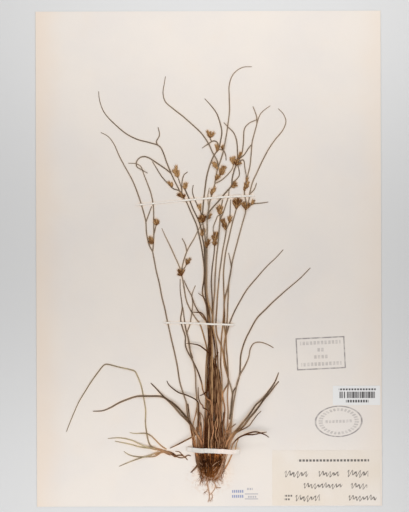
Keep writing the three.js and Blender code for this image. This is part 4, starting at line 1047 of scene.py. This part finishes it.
# Each plant is its tone, its strands, which each grow from the nearest one before them, and its
# clusters. A cluster is the place it grows from, the tips of its flower stalks and, for some, how pale
# it is.
CULMS = [
    dict(tone=0.4, strands=[
        culm([[-10.3, -162], [-12.4, -151], [-14.2, -144], [-15.8, -138], [-17.3, -133], [-18.3, -128],
            [-19, -122.5], [-20.2, -119], [-22, -113.5], [-24, -107], [-25.5, -100.5], [-27, -90],
            [-29.2, -80], [-31.8, -68], [-34, -58], [-36.7, -45], [-39.8, -32], [-42.5, -18], [-44.6, -9],
            [-46.5, 1], [-47.4, 6]]),
        bract([[-47.4, 6], [-50.5, 12], [-52.5, 22], [-53.2, 31], [-54.8, 38.5], [-58.5, 51], [-62.5, 62.5],
            [-67.5, 72.5], [-75, 86], [-80, 97.5], [-85, 103.8], [-91, 107.3]]),
        bract([[-47.4, 6], [-46.4, 18], [-46.5, 30], [-46.7, 43], [-48.8, 56], [-51, 62], [-54.8, 72],
            [-57, 78], [-60.5, 80.3], [-68, 81]]),
        stalk([[-53.2, 31], [-49.5, 40.5], [-48, 44.5]]),
        stalk([[-46.3, 20], [-45, 26], [-43.8, 30]]),
    ], clusters=[
        ([-47.4, 13], [[-51, 19.5], [-49.2, 19], [-51.8, 15.2]]),
        ([-44.2, 28.5], [[-46.2, 34.4], [-44, 34.4], [-42, 33.2]]),
    ]),
    dict(tone=0.8, strands=[
        culm([[-5.4, -162], [-4.8, -148], [-3.9, -136], [-3.2, -124], [-2.9, -112], [-2.8, -100], [-2.6, -92],
            [-2.1, -84], [-1.8, -77.5], [-2.7, -72], [-6, -60], [-8, -54.5], [-11, -50.5], [-15, -44.5],
            [-18.5, -37], [-20.5, -28], [-22, -18], [-23.2, -12]]),
        bract([[-23.2, -12], [-25.2, -6], [-29.5, 4], [-35, 15.5], [-39.8, 26]]),
        bract([[-23.2, -12], [-21.3, -2], [-17.8, 7.5], [-12.5, 17], [-8.7, 24.5], [-5.5, 29.5]]),
        stalk([[-18.3, 6], [-19.5, 11], [-22.5, 17.5]]),
        stalk([[-22.8, -10.8], [-20, -7], [-18.3, -3.6]]),
    ], clusters=[
        ([-23, -14.5], [[-26.5, -8.4], [-24.6, -7.6], [-21, -8], [-27, -12.4]], RIPE),
        ([-19, -5.2], [[-18.5, 0.6], [-15, 1.2], [-16.4, -2.4]]),
    ]),
    dict(tone=0.4, strands=[
        culm([[-3.2, -162], [-3, -146], [-2.2, -132], [-1.9, -120], [-1.6, -108], [-1.3, -97], [-1, -87],
            [-0.6, -79], [-0.4, -70], [-0.6, -60], [-0.9, -52], [-1.7, -44], [-2.4, -38.5], [-4.1, -33.8],
            [-5.4, -29.6], [-5.4, -25], [-4.3, -19], [-3.8, -12], [-4.2, -4], [-5, 3], [-6.4, 11], [-8, 19],
            [-9.8, 27], [-12.5, 34], [-15.5, 41], [-18.5, 47.5], [-21.3, 51.5]]),
        bract([[-21.3, 51.5], [-25, 58.5], [-30.5, 70], [-35, 80.5], [-38.3, 90], [-41.5, 95.3], [-50, 98.6],
            [-60, 101.1], [-70, 106.3], [-80, 114.8], [-88.6, 125], [-92, 135], [-92.8, 142]]),
        stalk([[-42.6, 95.9], [-44, 98.8], [-41.4, 104.5], [-42.5, 111.5]]),
        bract([[-31.5, 72], [-37, 76.7], [-45, 82], [-50, 85.3], [-54, 86.6], [-58, 85.6], [-60.8, 82],
            [-60.4, 78], [-57, 75.7], [-51.5, 72.5]]),
        stalk([[-24.6, 57.7], [-30, 59.5], [-34, 63.5], [-40, 70.3], [-47.5, 82.5]]),
        stalk([[-22, 53], [-23, 60], [-24.5, 65], [-26.2, 70]]),
        stalk([[-22.4, 57], [-22.2, 66], [-20.5, 71.3], [-17.5, 73.5]]),
    ], clusters=[
        ([-21.6, 50.6], [[-27.2, 55.2], [-24.4, 57], [-19.6, 55]], RIPE),
        ([-25.8, 68.8], [[-27.6, 80], [-30.6, 76], [-25.8, 75.4]], UNRIPE),
        ([-31, 60.2], [[-34.6, 66], [-31.4, 65.4]]),
    ]),
    dict(tone=0.1, strands=[
        culm([[-1.2, -162], [-1, -146], [-0.6, -130], [-0.3, -115], [-0.1, -100], [0.3, -88], [0.6, -76],
            [0.5, -64], [0.1, -54], [-0.7, -46], [-1.4, -38], [-2.9, -31], [-3.5, -22], [-3.2, -12],
            [-3.3, 0], [-4, 10], [-5.4, 18], [-6.3, 25], [-8.6, 32.5], [-11.3, 38.5], [-14, 44.5], [-17, 52],
            [-20.5, 60]]),
    ], clusters=[
        ([-20, 58.8], [[-18.2, 65.4], [-20.6, 64.8]], UNRIPE),
        ([-5.4, 18.6], [[-5.8, 25.6], [-3.2, 26.2]]),
    ]),
    dict(tone=0.3, strands=[
        culm([[0.9, -162], [1, -146], [0.9, -130], [0.9, -115], [1, -100], [1.4, -88], [1.6, -76], [1.4, -64],
            [1.1, -54], [0.4, -46], [-0.6, -38], [-2.1, -31], [-2.8, -22], [-2.6, -12], [-2.5, 0], [-2.8, 12],
            [-3.5, 21], [-4.6, 28], [-5.8, 34]]),
        culm([[-5.8, 34], [-4.6, 44], [-3.7, 53], [-2.4, 64], [-0.5, 74], [2, 81.5], [5.5, 88.5], [8.6, 92]]),
        bract([[8.6, 92], [10.3, 99], [11.4, 107], [10.4, 113], [7.5, 122], [3, 128.5], [-3, 135.5]]),
        bract([[8.4, 93], [7.6, 98.4], [4.5, 99.8], [0, 97.3], [-5.5, 93.5]]),
        stalk([[9.2, 92.2], [12.6, 91.5], [14.5, 87.5], [15, 83]]),
        stalk([[2.6, 99.2], [1.6, 101.5], [1.4, 104]]),
        stalk([[-5.8, 34.5], [-7.2, 41], [-9.5, 45.5], [-12.5, 52.5], [-13.7, 57], [-13, 62.5]]),
    ], clusters=[
        ([7.8, 90.2], [[6.2, 97.6], [8.6, 97]]),
        ([12.2, 91.6], [[12.7, 96.8], [10.8, 96]]),
        ([1.5, 102.4], [[-1.4, 109.2], [1.6, 108.4], [5.4, 107.8]]),
        ([-5.4, 30.6], [[-9.4, 35.4], [-7.2, 37.6], [-4.6, 38.4], [-2.2, 37.4]], RIPE),
        ([-7, 40.4], [[-9.6, 46.2], [-7.2, 47.2]], UNRIPE),
    ]),
    dict(tone=0.8, strands=[
        culm([[3, -162], [2.9, -146], [2.6, -130], [2.4, -115], [2.5, -100], [2.6, -88], [2.6, -76],
            [2.3, -64], [2.6, -54], [2.9, -47.5], [1.9, -43], [0.4, -40], [-1, -35], [-1.7, -29], [-1.9, -20],
            [-1.7, -8], [-1.6, 4], [-1.6, 14], [-1.3, 24], [-1.2, 33], [-0.2, 41], [1.1, 48], [3, 55],
            [5.3, 63.7]]),
        stalk([[-0.7, 36], [0, 43], [-0.5, 53], [0.6, 60]]),
    ], clusters=[
        ([2.6, 53.6], [[6, 61.6], [3.4, 60.2]]),
        ([-1.6, 9], [[-2.6, 15.4], [0.7, 17.4]]),
        ([-1, 33.6], [[2.8, 38.6]]),
    ]),
    dict(tone=0.4, strands=[
        culm([[5, -162], [5, -146], [4.6, -130], [4.4, -115], [4.8, -100], [5.2, -88], [5.1, -78], [4.2, -70],
            [3.1, -62], [2.8, -54], [3.1, -43], [2.6, -33], [2.1, -20], [2.7, -10], [4, 0], [4.6, 6],
            [5, 12]]),
    ], clusters=[
        ([5, 11], [[3.2, 20.4], [4.6, 23.6], [7.8, 23.4], [6.8, 19.4]]),
    ]),
    dict(tone=0.6, strands=[
        culm([[7.6, -162], [7.8, -146], [7.7, -130], [8, -115], [8.1, -100], [7.3, -88], [6.8, -77],
            [5.6, -69], [3.9, -61], [3.4, -53], [3.5, -44], [4.2, -35], [4.8, -27], [5.4, -14], [6.5, 0],
            [7.7, 12], [8.8, 24], [9.4, 31], [10, 38], [10.6, 43], [12, 50]]),
        bract([[9.6, 33.4], [12, 38], [14.5, 45], [16.6, 52], [17.5, 59]]),
        stalk([[9.8, 36.6], [8, 36.4], [5.8, 32], [4, 27], [3.8, 23]]),
    ], clusters=[
        ([10, 37.2], [[6.8, 44.4], [8.8, 46.2], [11.4, 45.2]]),
    ]),
    dict(tone=0.6, strands=[
        culm([[10.7, -162], [10.3, -150], [9.9, -138], [10.3, -126], [10.7, -116], [10.9, -108], [10.7, -100],
            [9.9, -91], [9.9, -81], [10.3, -72], [10.8, -64], [11.9, -55], [12.6, -46], [12.8, -35],
            [12.4, -22], [12.6, -10], [14, 3], [16, 13], [18.3, 23], [21, 33.5], [23.8, 43]]),
    ], clusters=[
        ([23.6, 42], [[20.6, 50.8], [22.8, 52], [25.8, 52.2], [28.2, 50.8]], RIPE),
    ]),
    dict(tone=0.75, strands=[
        culm([[13.2, -162], [14.5, -150], [15.4, -141], [15.8, -131], [15.5, -121], [15.6, -112],
            [16.3, -104], [16, -95], [15.4, -84], [14.6, -75], [14.4, -64], [15.2, -55], [15.8, -45],
            [16.2, -33], [17, -20], [19, -8], [21.5, 4], [24.5, 15], [27.7, 27], [31, 38], [31.5, 42]]),
        bract([[31.5, 42], [31.6, 48], [30.4, 56], [31.7, 65], [33, 70], [35, 78], [36.2, 90], [37.3, 99.5],
            [40.3, 111], [43.8, 122], [47, 125.5], [52.5, 129.3]]),
        stalk([[41.1, 114], [41, 119.5], [39.6, 124], [37.8, 128.8]]),
        bract([[31.5, 42], [34, 49], [35, 56], [37.8, 66], [41, 73], [45.3, 82], [50, 91], [56.5, 100.5],
            [63.5, 109.5], [65.6, 116], [63.5, 122], [59, 127]]),
        stalk([[34.8, 54.4], [38.6, 58.5], [40.8, 64]]),
        stalk([[32, 43.4], [37.5, 46], [44, 46.8], [50.5, 47.8]]),
    ], clusters=[
        ([31.4, 40.8], [[28, 48.6], [30.8, 49], [34.8, 47.8]]),
        ([35.6, 45.4], [[39, 50.4]], UNRIPE),
        ([30.6, 57], [[31.6, 65], [34.2, 66]]),
        ([31.6, 64.6], [[33.2, 70]]),
    ]),
    dict(tone=0.6, strands=[
        culm([[15.4, -162], [16.2, -150], [17.6, -141], [18.9, -133], [19.5, -124], [19.5, -114],
            [18.2, -107.5], [16.7, -103], [14.8, -96.5], [12.9, -89], [11.8, -80], [9.9, -72.6], [7, -65.5],
            [6, -58], [6.5, -45], [7.1, -34], [8.2, -21], [10.2, -4], [12.2, 9], [14.2, 20], [15, 25]]),
        stalk([[15, 25], [17.5, 31], [18.2, 38], [18.5, 50]]),
    ], clusters=[
        ([14.8, 24.2], [[10.2, 34], [12.4, 34.6], [13.8, 31.4]], RIPE),
        ([17.2, 30.2], [[19.2, 37], [17, 36.6]]),
    ]),
]
SIXTH_STEM_FORKS = {
    "right_bract": dict(tone=0.7, strands=[
        bract([[5.3, 63.7], [7, 73], [10.3, 83], [13.2, 94], [15.5, 107], [17.8, 123], [17.8, 137],
            [17.6, 146], [20, 154], [24.5, 159.3], [30, 162], [37, 162.2]]),
        stalk([[5.3, 63.7], [10.5, 66], [16, 70.8], [20, 76], [21.4, 80.4]]),
        stalk([[5.8, 65.4], [8, 68.4], [10, 71.4], [11.4, 74]]),
    ], clusters=[
        ([6.4, 66.2], [[7.6, 72], [10.4, 70.6]]),
        ([9.6, 70.8], [[10.4, 77.4], [14.2, 74.6]]),
        ([11.2, 73.8], [[12.6, 79.6], [15.4, 78.4]]),
        ([7.6, 75.2], [[3, 82.6], [5.4, 82.2]], UNRIPE),
        ([21.2, 79.4], [[18.6, 86.6], [21.8, 87.4]], UNRIPE),
    ]),
    "left_bract": dict(tone=0.4, strands=[
        bract([[8.2, 77], [7.5, 82.5], [3.5, 90], [0, 97.5], [-5, 105], [-12, 112], [-20, 119.3],
            [-30, 127.3], [-36.5, 133.3], [-38.3, 140], [-37.2, 148], [-36.2, 154.5]]),
    ]),
    "branch": dict(tone=0.45, strands=[
        culm([[-0.9, 33.4], [0, 38.5], [3.5, 43.2], [8, 48], [12.3, 53.5], [16, 57.7], [19.3, 61.5], [20, 68],
            [21.8, 75], [24.5, 81]]),
        stalk([[20, 64.4], [23.4, 66.8], [26, 70.6], [25.7, 76], [24.6, 80.4]]),
        bract([[24.5, 81], [24.7, 91], [23.8, 100], [21, 107], [16.5, 111.5], [12.9, 115.3]]),
        bract([[24.5, 81], [28.3, 89], [29.6, 99], [30.8, 110.5], [35, 115], [41.5, 117.6]]),
        stalk([[26.4, 84.8], [30.5, 88], [34.3, 93.8], [36.4, 96.3]]),
        stalk([[25, 81.8], [29.4, 83.4], [30.7, 77], [32, 69]]),
    ], clusters=[
        ([24, 78.6], [[25.8, 85.2], [22.6, 84.8], [28.4, 81.6]], RIPE),
        ([26, 84], [[27.6, 90.8]]),
        ([19.4, 60.8], [[25.2, 62.4], [23.8, 65.6]]),
    ]),
}

for number, plant in enumerate(CULMS, 1):
    lay_plant(f"flowering_stem_{number}", f"culm_{number}", **plant)
for fork, plant in SIXTH_STEM_FORKS.items():
    lay_plant(f"flowering_stem_6_{fork}", f"culm_6_{fork}", **plant)

# The loose strips of the old sheaths. Those over the middle run straight up, and the outer ones fan.
# Four more hang from the second stem, where its own sheath has split at the left of the tuft, each
# with its width, its tone and its route.
LOOSE_TONES = (0.0, 0.1, 0.9, 0.35, 0.7, 1.0, 1.0, 0.05, 1.0)
ALWAYS_OUTER = 0.35
SPLIT_SHEATH = [
    (0.9, 0.7, [[-10.4, -125], [-11.2, -129], [-12.8, -135], [-13.8, -141], [-13.4, -148]]),
    (1.5, 0.9, [[-10, -126], [-9.6, -132], [-9.6, -139], [-9, -147]]),
    (0.8, 0.5, [[-9.6, -127], [-8, -131], [-7.2, -137], [-6.8, -145]]),
    (0.7, 0.6, [[-9, -128.5], [-6.2, -132], [-4.9, -136.5], [-4.6, -142]]),
]
sheath_strips[-1] += [torn_strip(*strip) for strip in SPLIT_SHEATH]
for strips in sheath_strips[:-1]:
    for tone in LOOSE_TONES:
        outer = tone == ALWAYS_OUTER or chance.uniform() < 0.3
        start = chance.uniform(8.0, 14.5) * chance.choice([-0.6, 1.0]) if outer else chance.uniform(-4.0, 9.5)
        top = chance.uniform(-150.0, -138.0) if outer else chance.uniform(-152.0, -112.0)
        y = np.linspace(chance.uniform(-166.0, -158.0), top, 6)
        fan = 1.0 + (0.016 if outer else 0.001) * (y + 160.0)
        x = CROWN_MIDDLE[0] + (start - CROWN_MIDDLE[0]) * fan + chance.normal(0, 0.7, 6)
        strips.append(torn_strip(chance.uniform(0.45, 1.25), tone, np.stack([x, y], axis=1)))
for number, strips in enumerate(sheath_strips, 1):
    dress(build(f"torn_sheath_{number}", strips), f"old_sheath_{number}", "old_sheath", sheath_material)

# The basal leaves: wiry, channelled, dried leaves that grow from the rootstock and lie over the stems.
# Each is its tone and its route. Two on the right and two on the left are wider than the others.
WIDE_LEAF_WIDTH = 1.8
WIDE_LEAVES = (12, 13, 18, 19)
LEAF_DARK = (76, 59, 44)
LEAF_PALE = (149, 131, 112)
LEAVES = [
    (0.75, [[-7.6, -162], [-7.6, -147], [-8.8, -137], [-10, -129], [-10.3, -121], [-11.1, -110], [-11.5, -99],
        [-12.8, -90], [-14.8, -83], [-16.8, -74], [-17.6, -68], [-18.5, -62.5], [-16.2, -56], [-14.5, -46],
        [-13.8, -38], [-14.3, -31], [-11.5, -22.5]]),
    (0.35, [[2.2, -131], [2, -124], [1, -119.5], [-1.8, -117.6], [-3.6, -114.2], [-5.2, -110.5],
        [-6.5, -104.5], [-10, -94], [-14.8, -84.5], [-17.5, -79.5], [-19.9, -73], [-20.1, -66], [-22.5, -58],
        [-24, -51], [-22.6, -41], [-24.2, -27], [-24.2, -17]]),
    (0.5, [[2, -72], [1.2, -64], [-0.4, -57], [-2.2, -53], [-5.5, -49], [-9, -44.5], [-12, -39], [-14.5, -32],
        [-18, -25], [-21, -18]]),
    (0.45, [[-13.8, -84], [-15.6, -78.5], [-17.2, -69], [-18.8, -63], [-20, -57], [-21.2, -49], [-22, -41]]),
    (0.4, [[-1.6, -55], [-2.8, -51], [-4.8, -47.2], [-7, -45.4], [-10.5, -45.2], [-14.5, -45]]),
    (0.3, [[0.6, -81], [-1.5, -78.3], [-5, -75.3], [-8.5, -73], [-14, -71.8], [-19.3, -71.5]]),
    (0.3, [[1.4, -82], [1, -68], [0.6, -58], [-0.2, -50], [-1.3, -43], [-2.3, -37], [-4.6, -32.4],
        [-9, -29]]),
    (0.55, [[14.2, -68], [13.4, -60], [13.2, -50], [12.9, -38], [13.8, -32], [16.2, -23], [18.3, -13],
        [19, -7], [18.2, -1.5], [16.8, 5]]),
    (0.5, [[11.8, -162], [12, -148], [12.4, -136], [13, -126], [12, -119.5], [11.2, -114.5], [13.6, -109.3],
        [16, -105.3], [16, -99], [14.4, -91], [13.1, -83], [12.7, -76], [13.3, -69], [15.8, -60.5],
        [17.7, -54], [22, -44], [27, -34.5], [33.5, -24.5], [42, -14.8], [50, -5.7], [56.5, 0.3], [63, 7.5]]),
    (0.4, [[17, -136], [18.4, -128], [19, -120], [19.8, -114.5], [21, -111], [22.9, -108.5], [24.4, -104],
        [25.7, -98], [26.4, -90], [27, -81], [30.3, -70], [35.5, -59], [41, -50], [49, -42], [61, -30.7],
        [72, -21.3], [80, -14.2], [86, -8]]),
    (0.7, [[17, -158], [17.8, -150], [18.4, -142], [19, -134], [20, -126], [21, -119], [22.6, -111],
        [24, -104], [26.4, -97.5], [29.8, -92], [33.2, -84], [35, -76], [38, -71.7], [43, -70.7], [49, -72.5],
        [54.5, -75.7]]),
    (0.35, [[13.4, -158.5], [15.8, -152.5], [19.5, -147.5], [23.5, -143.8], [27, -139.7], [31, -134.8],
        [35.5, -129], [39.5, -123.5], [44.2, -119.3], [49.5, -113.5], [55.3, -105], [58.8, -96.5]]),
    (0.25, [[15.6, -158.5], [18, -152], [21.8, -147], [26, -143.3], [29.6, -139.8], [33.2, -135],
        [37.6, -130], [42, -124.4], [46, -119.3], [50.8, -114], [55.5, -108], [59, -104]]),
    (0.2, [[16, -162], [17, -155], [19.6, -150], [22, -146.6], [26, -144.4], [30, -142.5], [33.8, -140],
        [36, -137], [40.5, -131.5], [43.8, -128.3]]),
    (0.12, [[18, -159.8], [19.6, -155.5], [22.5, -152], [26, -149.5], [30, -148], [37, -147.8], [44, -146.6],
        [48.5, -146]]),
    (0.05, [[27, -148.8], [30.5, -147.3], [34, -146.2], [39, -145.5], [43.5, -146.8], [47, -148.3],
        [50.3, -150.5]]),
    (0.8, [[12.6, -177], [15, -173], [17.4, -168], [19.5, -163.5], [21.3, -162], [22.8, -154.5],
        [24.6, -150.5]]),
    (0.45, [[-6.4, -162], [-7, -154], [-9.2, -149.6], [-12.2, -145], [-15.8, -139.8], [-20, -135.2],
        [-25.5, -129.8], [-31, -123.5], [-37, -117.8], [-41, -116.4], [-50, -116.1], [-60, -116.2],
        [-68, -118.4], [-76, -121.5], [-83, -125.5], [-90, -128.2], [-98.5, -128.8]]),
    (0.1, [[-10, -148], [-12.5, -143.5], [-15, -139.5], [-19, -134], [-22.4, -129.8], [-26, -125.8],
        [-31, -121.7], [-36, -118.6], [-40, -114.8], [-45, -109.5], [-49.5, -105]]),
    (0.0, [[-9.5, -142], [-8.6, -134], [-8.8, -127], [-9.4, -121], [-11.5, -118.7], [-15, -116.7],
        [-20, -114.7], [-25.5, -113.2], [-30, -110.2], [-34, -106.5], [-35.8, -103]]),
    (0.2, [[2.2, -136], [1.2, -131], [-0.4, -127.9], [-2.6, -126], [-5, -125], [-5.4, -123.2], [-7.2, -121.4],
        [-8.8, -118], [-9.3, -113], [-9.2, -108]]),
    (0.0, [[-0.8, -105.5], [-0.8, -110.4], [-3, -112.2], [-5.4, -113.9], [-8, -115]]),
    (0.4, [[-12.4, -149], [-15, -150.3], [-20, -153], [-25, -155.8], [-33.5, -160]]),
    (0.3, [[15.4, -147], [17, -143.6], [19.5, -141.3], [22.5, -139]]),
    (0.1, [[10.4, -150], [10.3, -144], [11, -138.5], [11.8, -134], [12.2, -129]]),
    (0.3, [[5, -92], [5.6, -86], [6.3, -82.5], [8, -78.5]]),
]
leaf_material = strand_recipe("dried_leaf", LEAF_DARK, LEAF_PALE, foot_colours, outer_pales=0.85, ruddy=0.9)
for number, leaf in enumerate(LEAVES, 1):
    width = WIDE_LEAF_WIDTH if number in WIDE_LEAVES else LEAF_WIDTH
    lay_leaf(f"dried_leaf_{number}", f"leaf_{number}", "leaf", leaf_material, width, *leaf)

# The straps: three strips of gummed cream paper, stuck to the sheet at both ends and stretched over
# the plant between them. Each is its width and its route. The one at the foot is greyer on the left
# and rosier on the right.
STRAP_STEEPEST = 0.5
STRAP_THICKNESS = 0.15
# A strap's cross-section is flat below and a little arched above.
STRAP_ACROSS = (-0.5, -0.47, 0.47, 0.5, 0.5, 0.47, 0.0, -0.47)
STRAP_UP = (-0.3, -0.5, -0.5, -0.3, 0.3, 0.5, 0.7, 0.5)
STRAP_WHITE = (231, 224, 215)
STRAP_SHADE = (222, 213, 203)
STRAP_GREY = (208, 203, 196)
STRAP_ROSY = (227, 214, 205)
STRAPS = {
    "strap_top": (1.5, [[-61.5, 45.6], [-47.5, 46.8], [-25, 49], [-5, 50.7], [15, 52.2], [39, 53.1]]),
    "strap_middle": (1.5, [[-39, -54], [-22, -54.3], [0, -55], [22, -56.1]]),
    "strap_base": (3.9, [[-19, -161], [-10, -161.3], [6, -161.6], [25.5, -162.1]]),
}


def gummed_paper():
    """The straps' paper, with the sheet's colour where it is stuck down low or beside the tuft."""
    recipe, tone, mottle = paper_recipe("gummed_paper", STRAP_WHITE, STRAP_SHADE, STRAP_WHITE)
    beside_tuft = recipe.rise(recipe.y, -155.0, -158.0) * recipe.rise(abs(recipe.x - 3.2), 17.6, 19.0)
    stuck = recipe.rise(recipe.z, 1.4, 0.8) + beside_tuft
    handled = recipe.mix(recipe.rise(recipe.x, 2.0, 9.0), STRAP_GREY, STRAP_ROSY)
    tone = recipe.mix(recipe.rise(recipe.y, -150.0, -155.0), tone, handled)
    return paper_finish(recipe, recipe.mix(stuck * 0.9, tone, SHEET_CREAM), mottle)


strap_material = gummed_paper()
strap_ring = np.stack([STRAP_ACROSS, STRAP_UP], axis=1)
for node, (width, route) in STRAPS.items():
    strip = Strand(route, width, STRAP_THICKNESS, tip=1.0, steepest=STRAP_STEEPEST, sway=0.0)
    strip.press()
    strap = build(f"paper_{node}", [Part(carry(strip, strap_ring), 1.0, 0, strip.along)])
    dress(strap, node, "strap_paper", strap_material)

# Painted warm light: the paper along the plant is a little warmer, over the shade that the plant casts there.
# How much is kept on the sheet's points: the share of ground that the plant covers, evened out over a few
# millimetres.
WARM_LIGHT_REACH = 9
warm_light_cover = (ground > SHEET_HIGH[2] + 2 * GAP).astype(float)
window = np.ones(WARM_LIGHT_REACH) / WARM_LIGHT_REACH
for axis in (0, 1, 0, 1):
    warm_light_cover = np.apply_along_axis(np.convolve, axis, warm_light_cover, window, mode="same")
corners = np.empty(3 * len(sheet.data.vertices))
sheet.data.vertices.foreach_get("co", corners)
columns, rows = ground_cells(corners.reshape(-1, 3)[:, :2] / MM)
columns, rows = columns.clip(0, ground.shape[0] - 1), rows.clip(0, ground.shape[1] - 1)
warm_light_share = sheet.data.attributes.new("warm_light_share", "FLOAT", "POINT")
warm_light_share.data.foreach_set("value", warm_light_cover[columns, rows].astype(np.float32))

# The stage: a plain pale floor just under the sheet, two low soft lights at its head and its foot, a
# larger one above it, and an even air. The camera looks straight down, as a copy stand's does, and is
# turned by a fraction of a degree.
VIEW_HEIGHT = 433.5
CAMERA_HEIGHT = 1.0
CAMERA_MIDDLE = (-3.6, 2.3)
CAMERA_ROLL = 0.18
SENSOR_WIDTH = 36.0
FLOOR_SIZE = 6.0
FLOOR_DROP = 0.0004
FLOOR_GREY = (206, 206, 206)
AIR_COLOUR = (1.0, 0.99, 0.98, 1.0)
bpy.ops.mesh.primitive_plane_add(size=FLOOR_SIZE, location=(0, 0, -FLOOR_DROP))
floor = bpy.context.object
floor.name = "studio_floor"
floor_material = bpy.data.materials.new("studio_floor")
floor_material.use_nodes = True
floor_shader = floor_material.node_tree.nodes["Principled BSDF"]
floor_shader.inputs["Base Color"].default_value = screen_colour(FLOOR_GREY)
floor_shader.inputs["Roughness"].default_value = 0.9
floor.data.materials.append(floor_material)

for name, place, size, power in (
    ("head_light", (0.04, 0.24, 0.25), (0.6, 0.15), 0.8),
    ("foot_light", (-0.04, -0.24, 0.25), (0.6, 0.15), 0.77),
    ("top_light", (0.0, 0.0, 1.2), (0.4, 0.4), 4.7),
):
    light = bpy.data.objects.new(name, bpy.data.lights.new(name, "AREA"))
    light.data.energy = power
    light.data.shape = "RECTANGLE"
    light.data.size, light.data.size_y = size
    light.location = place
    light.visible_camera = False
    bpy.context.scene.collection.objects.link(light)

world = bpy.data.worlds.new("studio_air")
world.use_nodes = True
world.node_tree.nodes["Background"].inputs["Color"].default_value = AIR_COLOUR
world.node_tree.nodes["Background"].inputs["Strength"].default_value = 0.2
bpy.context.scene.world = world
bpy.context.scene.view_settings.view_transform = "Standard"

camera = bpy.data.objects.new("camera", bpy.data.cameras.new("camera"))
camera.data.sensor_fit = "AUTO"
camera.data.sensor_width = SENSOR_WIDTH
camera.data.lens = SENSOR_WIDTH * CAMERA_HEIGHT / (VIEW_HEIGHT * MM)
camera.data.clip_start = 0.05
camera.location = (CAMERA_MIDDLE[0] * MM, CAMERA_MIDDLE[1] * MM, CAMERA_HEIGHT)
camera.rotation_euler = (0, 0, -math.radians(CAMERA_ROLL))
bpy.context.scene.collection.objects.link(camera)
bpy.context.scene.camera = camera
